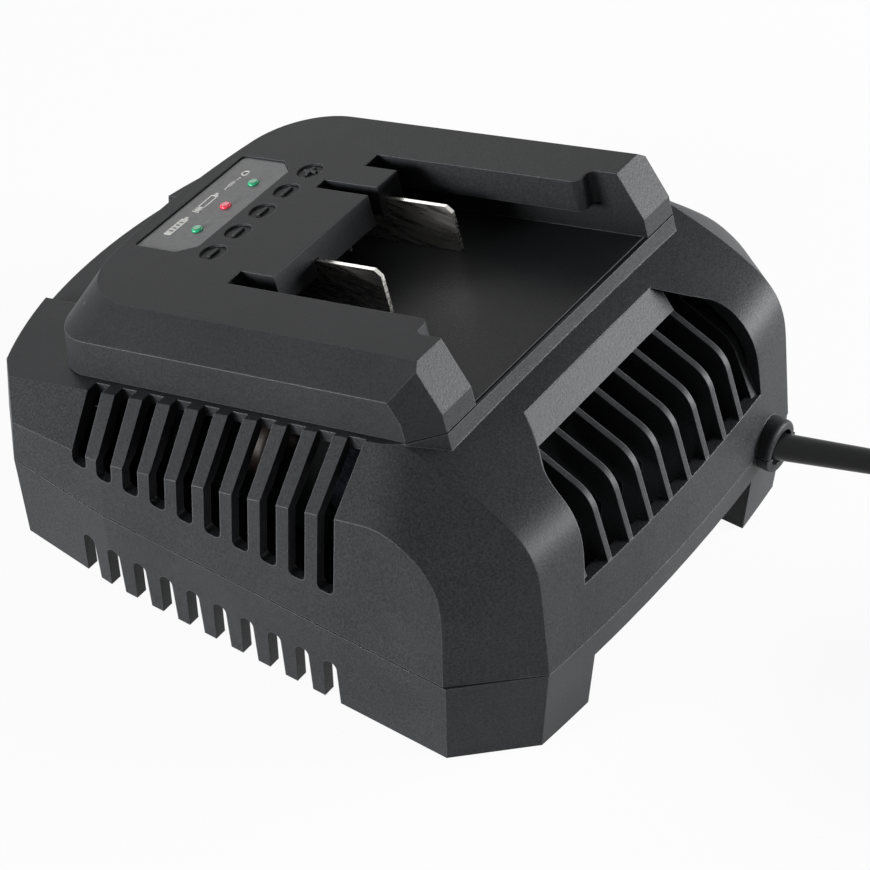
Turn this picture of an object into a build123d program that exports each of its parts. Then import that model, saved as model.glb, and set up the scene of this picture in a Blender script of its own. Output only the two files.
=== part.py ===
from build123d import *
import os
from math import cos, pi, radians, sin, sqrt, tan

os.makedirs("parts", exist_ok=True)

# ---------------------------------------------------------------- driving dimensions, mm and degrees
# Frame: origin on the floor under the middle of the case, +Y towards the indicator end,
# the battery slides in from -Y along the sloping deck.

# case plan
case_half = 63.5            # half width at the side walls
nose_half = 48.4            # half width of the front face between its corner facets
nose_foot_y = -75.0         # front face at the parting line, at the corner facets
bow = 2.5                   # how far the front face bulges at the middle
rear_y = 80.0               # rear face at the middle
rear_corner_y = 68.5        # rear face where the rear facets start
rear_half = 48.0
side_bend_y = 29.0          # the side walls turn slightly inwards behind this
rear_side = (60.5, 56.4)    # side wall ends here
side_draft = 3.0            # the upper case narrows upwards by this angle
seam_z = 22.5               # parting line between the two case halves
seam_gap = 0.35
wall = 2.5

# sloping deck that carries the dock
deck_tilt = 16.0
deck_z = 55.9               # height of the deck above the origin
deck_edge = 50.8            # the deck turns down into the slanted side panels here, at the middle
deck_widening = 0.034       # and this much further out for each mm rearwards
panel_angle = 43.0          # slope of a slanted side panel, from the deck
panel_foot_half = 62.1      # half width where the slanted panels meet the side walls

# front: gentle apron, rounded brow, steep face (y, z along the corner facets)
nose_points = [(-28.0, 69.0), (-39.0, 67.1), (-46.4, 65.3), (-53.7, 63.1), (-60.8, 60.2), (-66.0, 57.3),
               (-69.6, 53.6), (-71.7, 49.0), (-72.8, 43.0), (-73.7, 35.0), (-75.9, 16.0)]
facet_fall = 0.43           # drop of a front corner facet for each mm outwards
crease_round = 20.0         # the slanted panels pass softly into the corner facets
crease_middle = (55.5, -41.1, 61.7)

# lower case
lower_draft = 4.0
base_z = 15.0               # underside of the floor plate, the skirt stands below it
base_plate = 2.5
skirt = 3.0
notch_half = 32.0           # air gap between the two front feet
arch_width = 3.4
arch_flare = 0.4
arch_top = 12.2
foot_depth = 24.0           # length of the front gap
foot_wall = 7.0             # depth of the feet's walls beside the gap

# side vents, shared by slots above and arches below
vent_count = 10
vent_pitch = 7.25
vent_first_y = -30.2
slot_width = 4.2
slot_shift = 0.4            # the slots sit this far behind the arches below them
slot_bottom = 32.6
slot_inner = 49.2           # slots start this far from the middle plane
slot_lean_front = 1.5       # how far the upper part of the first slot leans rearwards
slot_lean_rear = 4.7        # and of the last one

# front grille
bar_top = (-52.0, 64.1)
bar_bottom = (-56.5, 58.5)
bar_half_top = 24.2
bar_half_bottom = 26.7
bar_depth = 3.2
grille_half = 35.2
grille_shoulder = (33.9, 59.4)
grille_bottom = 37.5
rib_pitch = 7.5
rib_thickness = 1.5
rib_count = 8
rib_corner = (-68.0, 52.7)  # where a rib's two straight runs would meet, before the bow
rib_round = 8.0
rib_foot_y = -73.2
grille_round = 4.0          # shoulders of the opening
rib_depth = 7.0

# dock, in deck coordinates: across, along, height above the deck
reveal = 0.35               # shadow gap under the dock
dock_front = -47.8
dock_nose = 42.6            # half width of the dock's front face
dock_half = 48.2
dock_top_half = 40.8
dock_kink = 4.7             # the front ends stand upright up to here
dock_front_top = -43.3
band_top = 9.5
dock_top = 15.5
dock_rear = 58.5
dock_rear_corner = 53.0
dock_top_rear = 54.9
dock_top_rear_corner = 49.4
dock_corner_radius = 12.0
dock_top_corner_radius = 18.0
dock_wall = 2.4
dock_floor = 2.0
dock_facet_slope = 6.8 / 5.9

# battery channel
channel_half = 32.5
lip_half = 27.3
lip_under = 8.0
lip_front = -34.7
lip_root = -38.4
tongue_front = 8.3
tongue_half = 22.3
notch_rear = 17.3
key_slot_x = 13.2
key_slot_width = 3.4
key_slot_rear = 23.0
block_front = 17.6          # front of the terminal block under the tongue
block_depth = 16.0
block_half = 26.5
block_clear = 0.3

# hollows of the dock
lip_bend = 1.8
channel_rear = 30.0
pocket_front = -38.0
pocket_rear = 49.0
rear_pocket_in = 21.5
rear_pocket_out = 32.0
rear_pocket_front = 37.5
dock_post = 3.6
mark_bar = (3.4, 0.8)

# terminals
terminal_pitch = 8.75
terminal_count = 5
blade_front = -9.2
blade_height = 11.5
blade_thickness = 1.0
blade_clip = (1.6, 1.4)     # clipped front top corner, along and down
negative_slot = 1           # which of the five slots hold the blades
positive_slot = 4
tab_drop = 6.0              # solder tab below the block
tab_front = 23.0
tab_rear = 27.0
blade_foot = 0.5
blade_step = 12.5           # behind this the blade is low
blade_neck = 6.8
groove_width = 2.6
groove_depth = 1.0
sense_thickness = 0.6
sense_front = 14.8
sense_foot = 2.0
sense_tip = 5.6
sense_chin = 1.2
block_screw_x = 22.6
block_head_seat = 2.4
small_reach = 5.0

# indicator panel
panel_half = 19.7
panel_front = 34.4
panel_rear = 50.5
panel_cut = (3.4, 4.0)
panel_round = 1.2
panel_depth = 1.2
panel_sunk = 0.35
panel_gap = 0.1
led_pitch = 10.1
led_s = 40.0
led_radius = 1.3
lens_rise = 0.25
lens_dome = 0.5
lens_flange = 0.6
lens_foot = 11.5
well_half = 13.0
well_reach = 3.6
bay_top = 10.0
bay_half = 18.2
bay_front = 36.2
bay_rear = 48.6
indicator_board_thickness = 1.6
indicator_screw_x = 15.6
indicator_reach = 3.0
mark_s = 29.2
mark_radius = 3.1
mark_depth = 0.5

# board
board_half = 41.0
board_front = -36.0
board_rear = 58.0
board_thickness = 1.6
standoff = 3.2
board_screw_inset = 5.0

# components on the board: place (x, y) and size (x, y, height)
component_edge = 0.6
lead_leg = 1.0              # width of a component's legs
core_spot = (-2.0, -14.0)
core_size = (30.0, 11.0, 24.0)
core_yoke = 4.0
core_leg = 8.0
winding_gap = 0.3
winding_out = 5.0
mains_can_spot = (-29.0, -17.0)
mains_can = (9.0, 27.0)     # radius and height
can_crimp = 0.94            # radius in the crimp groove, as a share
output_can_spots = [(-31.0, 32.0), (-19.0, 32.0)]
output_can = (5.0, 15.0)
choke_spot = (-30.0, 8.0)
choke_radius = 9.0
choke_hole = 3.5
choke_width = 8.0
bridge_spot = (26.0, -8.0)
bridge_size = (15.0, 3.6, 14.0)
x_cap_spot = (28.0, -20.0)
x_cap_size = (18.0, 7.5, 14.0)
chip_spot = (10.0, 40.0)
chip_size = (10.0, 6.2, 1.8)
fuse_spot = (37.0, -5.0)
fuse_radius = 2.6
fuse_length = 20.0
fuse_waist = 0.86           # radius of the glass between the caps, as a share
sink_spot = (6.0, 8.0)
sink_length = 34.0
sink_plate = 2.4
sink_fin = 8.0
sink_fins = 8
sink_pitch = 4.4
sink_height = 20.0
transistor_size = (10.0, 4.4, 9.0)
transistor_lift = 4.0

# fan behind the grille
fan_size = 40.0
fan_depth = 10.0
fan_y = -45.5
fan_rim = 1.1               # wall between the fan's bore and its side
fan_tip_gap = 0.6           # between the blades and the bore
fan_hub = 10.0
impeller_hub = 10.4
fan_shaft = 1.0
fan_running = 0.06
fan_blades = 7
fan_slack = 0.15
cradle_wall = 1.8
cradle_height = 8.0
fan_screw_inset = 4.0
fan_screw_hole = 1.7
fan_strut = 2.2
fan_back = 1.5
fan_tube = 3.0
fan_cap = 1.2
fan_lead = 0.4
impeller_depth = 7.0
blade_sweep = 3.6
blade_axial = 3.2
blade_skin = 1.1

# screws
case_screw_x = 50.5
case_screw_front = -57.0
case_screw_rear = 50.0
case_boss = 4.2
case_screw_radius = 1.5
dock_screw_x = 41.0
dock_screw_front = -30.0
dock_screw_rear = 30.0
fit_gap = 0.2

# mains cable
cable_radius = 2.5
collar_x = 38.0
collar_tip = -79.4
collar_radius = 6.1
collar_bore = 4.3
collar_mouth = 1.5          # depth of the wider mouth of the bore
collar_edge = 1.0
exit_y = -79.0              # the cable's axis turns here
boot_flange_radius = 4.6
boot_flange = 2.0
boot_flange_front = -9.2    # along the cable's axis from the exit point
entry_start = -18.8
clamp_at = -15.0
clamp_length = 6.0
clamp_half = 11.0
clamp_height = 4.6
clamp_screw_out = 7.6
clamp_screw_reach = 5.0
cable_grip = 0.05
cable_angle = 20.6          # the cable leaves turned this much from the front's normal
boot_radius = 3.1
boot_tip_radius = 2.75
boot_length = 24.0
cable_clear = 0.1
boot_edge = 0.4
# the cable's route after the bend protector, and the tail between coil and plug
cable_ahead = 22.0          # the route's first run, straight out of the bend protector
cable_points = [(60.5, -141.0, 18.5), (65.3, -158.0, 11.0), (65.6, -173.0, 7.5)]
tail_points = [(43.6, -199.9, 3.0), (27.0, -205.5, 3.0), (9.5, -207.0, 4.5), (-6.5, -204.5, 7.0),
               (-21.0, -199.0, 7.0)]
coil_centre = (32.0, -168.0)
coil_mean = 29.0
coil_section = 7.5          # half of the bundle's thickness
tie_angle = 150.0
tie_width = 6.0
tie_thickness = 1.0

# plug, sections along its axis: distance, width, height
plug_half_height = 7.0
plug_sections = [(0.0, 11.0, 9.0), (8.0, 15.0, 12.0), (20.0, 24.0, 14.0), (35.0, 26.0, 14.0)]
plug_round = 0.45           # share of the height
bend_share = 0.45           # share of a run that the bend at its end may take
plug_edge = 1.0
pin_pitch = 18.6
pin_radius = 2.0
pin_length = 19.0

# leads inside
lead_radius = 0.9
lead_out = 1.1              # each conductor's distance from the cable's middle
lead_lead = 6.0
lead_arch = 6.0
mains_pad = (26.0, -31.0)
mains_pad_pitch = 5.0
output_pad_y = 22.0

# deck seat for the dock
ledge_depth = 8.0
ledge_rim = 0.9
opening_half = 36.4
opening_rear = 42.0
seat_frame = 2.2            # the deck is this much thicker round the opening
seat_rim = 2.5
rear_recess = (-24.3, 21.0)  # left and right side of the pushed-in panel
rear_recess_depth = 2.4
rear_recess_front = 60.0

# grille details
rib_root = 0.4
cheek = 2.3
cheek_sunk = 1.6

# screw details
thread_gap = 0.05
case_screw_depth = 12.0
case_screw_length = 14.0
case_head_radius = 2.8
case_head = 2.0
case_head_seat = 18.5
dock_screw_reach = 8.0
small_screw_radius = 1.25
small_head_radius = 2.3
small_head = 1.4
board_screw_reach = 4.0
board_post = 3.0

# seam lip
lip_gap = 0.7
lip_thickness = 1.2
lip_rise = 2.5

# ---------------------------------------------------------------- shared frames and values
deck = Plane(origin=(0, 0, deck_z), x_dir=(1, 0, 0),
             z_dir=(0, sin(radians(deck_tilt)), cos(radians(deck_tilt))))
deck_across = Plane(origin=(0, 0, deck_z), x_dir=(1, 0, 0),
                    z_dir=(0, -cos(radians(deck_tilt)), sin(radians(deck_tilt))))
deck_side = Plane(origin=(0, 0, deck_z),
                  x_dir=(0, cos(radians(deck_tilt)), -sin(radians(deck_tilt))), z_dir=(1, 0, 0))
far = 320.0                 # reaches past the whole object
deep = far / 8              # reaches through the dock or the case
bow_radius = (nose_half ** 2 + bow ** 2) / (2 * bow)
bow_axis_y = nose_foot_y - bow + bow_radius
floor_top = base_z + base_plate
vent_ys = [vent_first_y + i * vent_pitch for i in range(vent_count)]
slot_leans = [slot_lean_front + i * (slot_lean_rear - slot_lean_front) / (vent_count - 1)
              for i in range(vent_count)]
terminal_xs = [(i - (terminal_count - 1) / 2) * terminal_pitch for i in range(terminal_count)]
board_bottom = floor_top + standoff
board_top = board_bottom + board_thickness
blade_xs = [terminal_xs[negative_slot], terminal_xs[positive_slot]]
sense_xs = [x for x in terminal_xs if x not in blade_xs]
led_xs = (-led_pitch, 0, led_pitch)
indicator_screw_spots = [(-indicator_screw_x, led_s), (indicator_screw_x, led_s)]
block_screw_spots = [(sx * block_screw_x, block_front + block_depth / 2) for sx in (-1, 1)]
rib_xs = [(i - (rib_count - 1) / 2) * rib_pitch for i in range(rib_count)]
fan_z = floor_top + fan_size / 2
fan_bore = fan_size / 2 - fan_rim
impeller_radius = fan_bore - fan_tip_gap
board_screw_spots = [(sx * (board_half - board_screw_inset), y) for sx in (-1, 1)
                     for y in (board_front + board_screw_inset, board_rear - board_screw_inset)]
clamp_screw_spots = [(collar_x + clamp_at * sin(radians(cable_angle)) + side * cos(radians(cable_angle)),
                      exit_y - clamp_at * cos(radians(cable_angle)) + side * sin(radians(cable_angle)))
                     for side in (-clamp_screw_out, clamp_screw_out)]
dock_screw_spots = [(sx * dock_screw_x, s) for sx in (-1, 1) for s in (dock_screw_front, dock_screw_rear)]
case_screw_spots = [(sx * case_screw_x, y) for sx in (-1, 1) for y in (case_screw_front, case_screw_rear)]


def deck_point(x, s, h):
    """A deck place (across, along, height) in the part's own frame."""
    return deck.from_local_coords(Vector(x, s, h))


def deck_level(y, h=0.0):
    """Height above the floor of the deck, or of a plane parallel to it, at a given y."""
    return deck_z + h / cos(radians(deck_tilt)) - y * tan(radians(deck_tilt))


def panel_foot(y):
    """Height of the crease between a slanted side panel and the side wall, at a given y."""
    return deck_level(y, -tan(radians(panel_angle)) * (panel_foot_half - deck_edge - deck_widening * y))


def inset_corner(before, corner, after, inset):
    """A corner of an outline that runs anticlockwise, after both its edges have moved inwards."""
    arriving = (Vector(*corner) - Vector(*before)).normalized()
    leaving = (Vector(*after) - Vector(*corner)).normalized()
    inwards = Vector(-arriving.Y - leaving.Y, arriving.X + leaving.X)
    moved = Vector(*corner) + inwards * (inset / (1 + arriving.dot(leaving)))
    return (moved.X, moved.Y)


def case_side(inset):
    """The corners of the case's right-hand side at the parting line, moved inwards."""
    corners = [(0, nose_foot_y), (nose_half, nose_foot_y), (case_half, nose_foot_y + case_half - nose_half),
               (case_half, side_bend_y), rear_side, (rear_half, rear_corner_y), (0, rear_corner_y)]
    return [inset_corner(*three, inset) for three in zip(corners, corners[1:], corners[2:])]


def finish(piece, name):
    piece.part.label = name
    export_step(piece.part, f"parts/{name}.step")
    print(name, round(piece.part.volume, 1))


# ---------------------------------------------------------------- case envelope
def draw_nose(shift, sink, axis_y=0.0, sign=1):
    """Draw the closed side view of the nose, moved forwards by shift and down by sink.

    With sign -1 the view is drawn as distances in front of axis_y, ready to be revolved."""
    def at(y, z):
        return (sign * (y - shift - axis_y), z - sink)
    points = [at(y, z) for y, z in nose_points]
    slope = (nose_points[-2][0] - nose_points[-1][0]) / (nose_points[-2][1] - nose_points[-1][1])
    rise = (nose_points[0][1] - nose_points[1][1]) / (nose_points[0][0] - nose_points[1][0])
    low = at(nose_points[-1][0] - slope * far / 2, nose_points[-1][1] - far / 2)
    Spline(*points, tangents=((-sign, -rise), (-sign * slope, -1)))
    Polyline(points[-1], low, at(far, nose_points[-1][1] - far / 2),
             at(far, nose_points[0][1] + rise * (far - nose_points[0][0])), points[0])


def case_envelope(inset):
    """The outside of the closed case above the parting line, moved inwards by inset."""
    with BuildPart() as body:
        with BuildSketch(Plane.XY.offset(seam_z)):
            with BuildLine():
                right = case_side(inset)[2:]
                right.insert(0, (right[0][0], -far / 2))
                left = [(-x, y) for x, y in right]
                Polyline(*reversed(left), *right)
                ThreePointArc(right[-1], (0, rear_y - inset), left[-1])
            make_face()
        extrude(amount=far / 2, taper=side_draft)
        for side in (-1, 1):
            with BuildSketch(deck_across):
                with BuildLine():
                    edge = deck_edge - inset * tan(radians(panel_angle / 2))
                    low = -inset - (far - edge) * tan(radians(panel_angle))
                    Polyline((-side * far, -inset), (side * edge, -inset), (side * far, low),
                             (side * far, -far), (-side * far, -far), close=True)
                make_face()
            extrude(amount=far, dir=deck_side.x_dir + Vector(side * deck_widening, 0, 0), both=True,
                    mode=Mode.INTERSECT)
        with BuildSketch(Plane(origin=(0, bow_axis_y, 0), x_dir=(1, 0, 0), z_dir=(0, -1, 0))):
            with BuildLine():
                draw_nose(bow - inset, inset, axis_y=bow_axis_y, sign=-1)
            make_face()
        revolve(axis=Axis((0, bow_axis_y, 0), (0, 0, 1)), mode=Mode.INTERSECT)
        for side in (-1, 1):
            with BuildSketch(Plane(origin=(side * nose_half, 0, 0), x_dir=(0, 1, 0), z_dir=(1, 0, 0))):
                with BuildLine():
                    draw_nose(-inset * sqrt(2), inset)
                make_face()
            extrude(amount=far, dir=(side, 1, -facet_fall), both=True, mode=Mode.INTERSECT)
    return body.part


sharp_envelope = case_envelope(0)
creases = [min(sharp_envelope.edges(), key=lambda edge: (edge @ 0.5 - Vector(side * x, y, z)).length)
           for side in (-1, 1) for x, y, z in (crease_middle,)]
outer_envelope = sharp_envelope.fillet(crease_round, creases)
inner_envelope = case_envelope(wall)
core_envelope = case_envelope(wall / 2)     # posts grow into the wall as far as this


# ---------------------------------------------------------------- shared outlines and cutters
def draw_seam_outline(inset=0.0):
    """Draw the case outline at the parting line, moved inwards, into the active BuildLine."""
    right = case_side(inset)
    left = [(-x, y) for x, y in reversed(right)]
    ThreePointArc(left[-1], (0, nose_foot_y + inset - bow), right[0])
    Polyline(*right)
    ThreePointArc(right[-1], (0, rear_y - inset), left[0])
    Polyline(*left)


def draw_rib_outline(x, sunk):
    """Draw the side view of the grille rib at x into the active BuildLine, its outer edge sunk."""
    forward = bow * (1 - (x / nose_half) ** 2)
    top = (bar_bottom[0] + rib_root / 2 + sunk, bar_bottom[1] - rib_root - sunk)
    foot = (rib_foot_y - forward + sunk / 2, grille_bottom)
    FilletPolyline(top, (rib_corner[0] - forward + sunk, rib_corner[1] - sunk), foot, radius=rib_round)
    Polyline(foot, (foot[0] + rib_root, grille_bottom - wall),
             (foot[0] + rib_depth, grille_bottom - wall),
             (foot[0] + rib_depth, grille_bottom + rib_depth),
             (bar_bottom[0] + rib_depth / 2, bar_bottom[1] - rib_depth),
             (bar_top[0], bar_top[1] - wall), top)


cable_frame = Plane(origin=(collar_x, exit_y, seam_z),
                    x_dir=(cos(radians(cable_angle)), sin(radians(cable_angle)), 0),
                    z_dir=(sin(radians(cable_angle)), -cos(radians(cable_angle)), 0))
collar_frame = Plane(origin=(collar_x, collar_tip, seam_z), x_dir=(-1, 0, 0), z_dir=(0, 1, 0))

with BuildPart() as collar:
    with BuildSketch(collar_frame):
        Circle(collar_radius)
    extrude(amount=nose_foot_y + wall - collar_tip)
    fillet(collar.faces().sort_by(Axis.Y)[0].edges(), collar_edge)

with BuildPart() as cable_bore:
    with BuildSketch(cable_frame):
        Circle(boot_radius + cable_clear)
    extrude(amount=-boot_flange_front, both=True)
    with BuildSketch(collar_frame):
        Circle(collar_bore)
    extrude(amount=collar_mouth, both=True)

with BuildPart() as roof_posts:
    with BuildSketch(Plane.XY.offset(seam_z + seam_gap / 2)):
        with Locations(*case_screw_spots):
            Circle(case_boss)
    extrude(amount=far / 4)
    add(core_envelope, mode=Mode.INTERSECT)

recess_width = rear_recess[1] - rear_recess[0]
recess_middle = (rear_recess[0] + rear_recess[1]) / 2
with BuildPart() as rear_panel:
    with BuildSketch(deck.offset(-wall / 2)):
        with Locations((recess_middle, rear_recess_front - wall + deep)):
            Rectangle(recess_width + 2 * wall, 2 * deep)
    extrude(amount=-rear_recess_depth - wall / 2)
    add(core_envelope, mode=Mode.INTERSECT)

# ---------------------------------------------------------------- upper case
with BuildPart() as upper_case:
    add(outer_envelope)
    add(inner_envelope, mode=Mode.SUBTRACT)
    # ledge that carries the front of the dock
    with BuildSketch(deck.offset(-ledge_depth)):
        with BuildLine():
            facet_s = dock_front + (dock_half - dock_nose) * dock_facet_slope
            Polyline((-dock_half, facet_s), (-dock_nose, dock_front), (dock_nose, dock_front),
                     (dock_half, facet_s), (dock_half, dock_screw_front), (-dock_half, dock_screw_front),
                     close=True)
        make_face()
    extrude(amount=ledge_depth)
    # thicker frame round the opening, and the pushed-in panel behind the dock
    with BuildSketch(deck.offset(-wall / 2)):
        with Locations((0, (dock_front + opening_rear + seat_rim) / 2)):
            Rectangle(2 * (opening_half + seat_rim), opening_rear + seat_rim - dock_front)
    extrude(amount=wall / 2 - wall - seat_frame)
    add(rear_panel.part)
    # opening for the dock's floor: a shallow seat, then through
    with BuildSketch(deck):
        with Locations((0, (dock_front + ledge_rim + opening_rear) / 2)):
            Rectangle(2 * opening_half, opening_rear - dock_front - ledge_rim)
    extrude(amount=-dock_floor, mode=Mode.SUBTRACT)
    with BuildSketch(deck):
        with Locations((0, (dock_front + opening_rear) / 2)):
            Rectangle(2 * (opening_half - seat_rim), opening_rear - dock_front - 2 * seat_rim)
    extrude(amount=-(ledge_depth + wall), mode=Mode.SUBTRACT)
    # side vents
    for sx in (-1, 1):
        with BuildSketch(Plane(origin=(sx * slot_inner, 0, 0), x_dir=(0, 1, 0), z_dir=(1, 0, 0))):
            for vent_y, lean in zip(vent_ys, slot_leans):
                y = vent_y + slot_shift
                with BuildLine():
                    slot_top = deck_level(y) + slot_width
                    Polyline((y - slot_width / 2, slot_bottom), (y - slot_width / 2, panel_foot(y)),
                             (y - slot_width / 2 + lean, slot_top), (y + slot_width / 2 + lean, slot_top),
                             (y + slot_width / 2, panel_foot(y)), (y + slot_width / 2, slot_bottom),
                             close=True)
                make_face()
            fillet(vertices().group_by(Axis.Y)[0], slot_width / 3)
        extrude(amount=sx * (case_half - slot_inner + wall), mode=Mode.SUBTRACT)
    # front grille: opening, bar above it, ribs
    with BuildSketch(Plane(origin=(0, bar_top[0], 0), x_dir=(1, 0, 0), z_dir=(0, -1, 0))):
        with BuildLine():
            Polyline((-bar_half_top, bar_top[1] + wall), (bar_half_top, bar_top[1] + wall),
                     (bar_half_top, bar_top[1]), grille_shoulder, (grille_half, grille_bottom),
                     (-grille_half, grille_bottom), (-grille_shoulder[0], grille_shoulder[1]),
                     (-bar_half_top, bar_top[1]), close=True)
        make_face()
        fillet(vertices().group_by(Axis.Y)[1], grille_round)
    extrude(amount=bar_top[0] - collar_tip, mode=Mode.SUBTRACT)
    with BuildSketch(Plane.YZ.offset(-bar_half_bottom)):
        with BuildLine():
            face_run = sqrt((bar_top[0] - bar_bottom[0]) ** 2 + (bar_top[1] - bar_bottom[1]) ** 2)
            inward = ((bar_top[1] - bar_bottom[1]) / face_run * bar_depth,
                      (bar_bottom[0] - bar_top[0]) / face_run * bar_depth)
            Polyline(bar_top, bar_bottom, (bar_bottom[0] + inward[0], bar_bottom[1] + inward[1]),
                     (bar_top[0] + inward[0], bar_top[1] + inward[1]), close=True)
        make_face()
    extrude(amount=2 * bar_half_bottom)
    for x in rib_xs:
        with BuildSketch(Plane.YZ.offset(x - rib_thickness / 2)):
            with BuildLine():
                draw_rib_outline(x, 0)
            make_face()
        extrude(amount=rib_thickness)
    for x in (-grille_half, grille_half - cheek):
        with BuildSketch(Plane.YZ.offset(x)):
            with BuildLine():
                draw_rib_outline(grille_half, cheek_sunk)
            make_face()
        extrude(amount=cheek)
    # screw posts, collar, cable passage
    add(roof_posts.part)
    add(collar.part)
    add(cable_bore.part, mode=Mode.SUBTRACT)
    split(bisect_by=Plane.XY.offset(seam_z + seam_gap / 2))
    with BuildSketch(Plane.XY.offset(seam_z)):
        with Locations(*case_screw_spots):
            Circle(case_screw_radius + thread_gap)
    extrude(amount=case_screw_depth, mode=Mode.SUBTRACT)
    with BuildSketch(deck):
        with Locations(*dock_screw_spots):
            Circle(case_screw_radius + fit_gap)
    extrude(amount=-(wall + ledge_depth), mode=Mode.SUBTRACT)
    # the pushed-in panel's outside
    with BuildSketch(deck):
        with Locations((recess_middle, rear_recess_front + deep)):
            Rectangle(recess_width, 2 * deep)
    extrude(amount=-rear_recess_depth, mode=Mode.SUBTRACT)

finish(upper_case, "upper_case")

# ---------------------------------------------------------------- lower case
drafted = tan(radians(lower_draft))
seam_low = seam_z - seam_gap / 2
with BuildPart() as clamp_posts:
    with BuildSketch(cable_frame.offset(clamp_at - clamp_length / 2)):
        with Locations((0, (floor_top - wall / 2 - seam_z) / 2)):
            Rectangle(2 * clamp_half, seam_z - floor_top + wall / 2)
        Circle(cable_radius + cable_grip, mode=Mode.SUBTRACT)
    extrude(amount=clamp_length)

with BuildPart() as lower_case:
    with BuildSketch(Plane.XY.offset(seam_low)):
        with BuildLine():
            draw_seam_outline()
        make_face()
    extrude(amount=-seam_low, taper=lower_draft)
    # inside above the floor plate, and the hollow under it
    with BuildSketch(Plane.XY.offset(seam_low)):
        with BuildLine():
            draw_seam_outline(wall)
        make_face()
    extrude(amount=floor_top - seam_low, taper=lower_draft, mode=Mode.SUBTRACT)
    with BuildSketch(Plane.XY.offset(base_z)):
        with BuildLine():
            draw_seam_outline(skirt + (seam_low - base_z) * drafted)
        make_face()
    extrude(amount=-base_z, taper=lower_draft, mode=Mode.SUBTRACT)
    # lip that lines up the two halves
    with BuildSketch(Plane.XY.offset(floor_top)):
        with BuildLine():
            draw_seam_outline(wall + lip_gap)
        make_face()
        with BuildLine():
            draw_seam_outline(wall + lip_gap + lip_thickness)
        make_face(mode=Mode.SUBTRACT)
    extrude(amount=seam_z + lip_rise - floor_top)
    with BuildSketch(Plane.XY.offset(seam_low)):
        with Locations((collar_x, nose_foot_y)):
            Rectangle(2 * (collar_radius + fit_gap), 2 * (wall + boot_flange_radius + boot_flange))
    extrude(amount=lip_rise + seam_gap, mode=Mode.SUBTRACT)
    # feet and the air gap between them
    with BuildSketch(Plane.XY):
        for sx in (-1, 1):
            with Locations((sx * (notch_half + skirt / 2), nose_foot_y + bow + (foot_wall + skirt) / 2)):
                Rectangle(skirt, foot_wall + skirt)
    extrude(amount=base_z + base_plate / 2)
    with BuildSketch(Plane.XY.offset(-wall)):
        with Locations((0, nose_foot_y)):
            Rectangle(2 * notch_half, 2 * foot_depth)
    extrude(amount=base_z + wall, mode=Mode.SUBTRACT)
    # side arches
    for sx in (-1, 1):
        with BuildSketch(Plane(origin=(sx * slot_inner, 0, 0), x_dir=(0, 1, 0), z_dir=(1, 0, 0))):
            for y in vent_ys:
                spring = arch_top - arch_width / 2
                with BuildLine():
                    ThreePointArc((y - arch_width / 2, spring), (y, arch_top), (y + arch_width / 2, spring))
                    Polyline((y + arch_width / 2, spring), (y + arch_width / 2 + arch_flare, -wall),
                             (y - arch_width / 2 - arch_flare, -wall), (y - arch_width / 2, spring))
                make_face()
        extrude(amount=sx * (case_half - slot_inner + wall), mode=Mode.SUBTRACT)
    # screw posts
    with BuildSketch(Plane.XY.offset(base_z)):
        with Locations(*case_screw_spots):
            Circle(case_boss)
    extrude(amount=seam_low - base_z)
    with BuildSketch(Plane.XY):
        with Locations(*case_screw_spots):
            Circle(case_screw_radius + fit_gap)
    extrude(amount=seam_z, mode=Mode.SUBTRACT)
    with BuildSketch(Plane.XY.offset(base_z - wall)):
        with Locations(*case_screw_spots):
            Circle(case_head_radius + fit_gap)
    extrude(amount=case_head_seat - base_z + wall, mode=Mode.SUBTRACT)
    # posts under the board
    with BuildSketch(Plane.XY.offset(floor_top - base_plate / 2)):
        with Locations(*board_screw_spots):
            Circle(board_post)
    extrude(amount=standoff + base_plate / 2)
    with BuildSketch(Plane.XY.offset(board_bottom)):
        with Locations(*board_screw_spots):
            Circle(small_screw_radius + thread_gap)
    extrude(amount=-board_screw_reach - fit_gap, mode=Mode.SUBTRACT)
    # cradle for the fan: four corners
    with BuildSketch(Plane.XY.offset(floor_top - base_plate / 2)):
        with Locations((0, fan_y)):
            Rectangle(fan_size + 2 * (fan_slack + cradle_wall), fan_depth + 2 * (fan_slack + cradle_wall))
    extrude(amount=cradle_height + base_plate / 2)
    with BuildSketch(Plane.XY.offset(floor_top)):
        with Locations((0, fan_y)):
            Rectangle(fan_size + 2 * fan_slack, fan_depth + 2 * fan_slack)
            Rectangle(fan_size - 2 * cradle_wall, 2 * fan_depth)
    extrude(amount=cradle_height, mode=Mode.SUBTRACT)
    # cable clamp posts and cable passage
    add(clamp_posts.part)
    with BuildSketch(Plane.XY.offset(seam_z + fit_gap)):
        with Locations(*clamp_screw_spots):
            Circle(small_screw_radius + thread_gap)
    extrude(amount=-clamp_screw_reach - fit_gap, mode=Mode.SUBTRACT)
    with BuildSketch(collar_frame):
        Circle(collar_radius)
    extrude(amount=nose_foot_y + wall - collar_tip)
    add(cable_bore.part, mode=Mode.SUBTRACT)
    with BuildSketch(Plane.XY.offset(seam_low)):
        with Locations((collar_x, (collar_tip + nose_foot_y + wall) / 2)):
            Rectangle(2 * collar_radius, nose_foot_y + wall - collar_tip)
    extrude(amount=collar_radius + seam_gap, mode=Mode.SUBTRACT)

finish(lower_case, "lower_case")

# ---------------------------------------------------------------- battery dock
def draw_dock_outline(half, rear_mid, rear_corner):
    """Draw the dock's plan, open towards the battery end, into the active BuildLine."""
    rear = ThreePointArc((half, rear_corner), (0, rear_mid), (-half, rear_corner))
    Polyline(rear @ 1, (-half, -far / 4), (half, -far / 4), rear @ 0)


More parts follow.
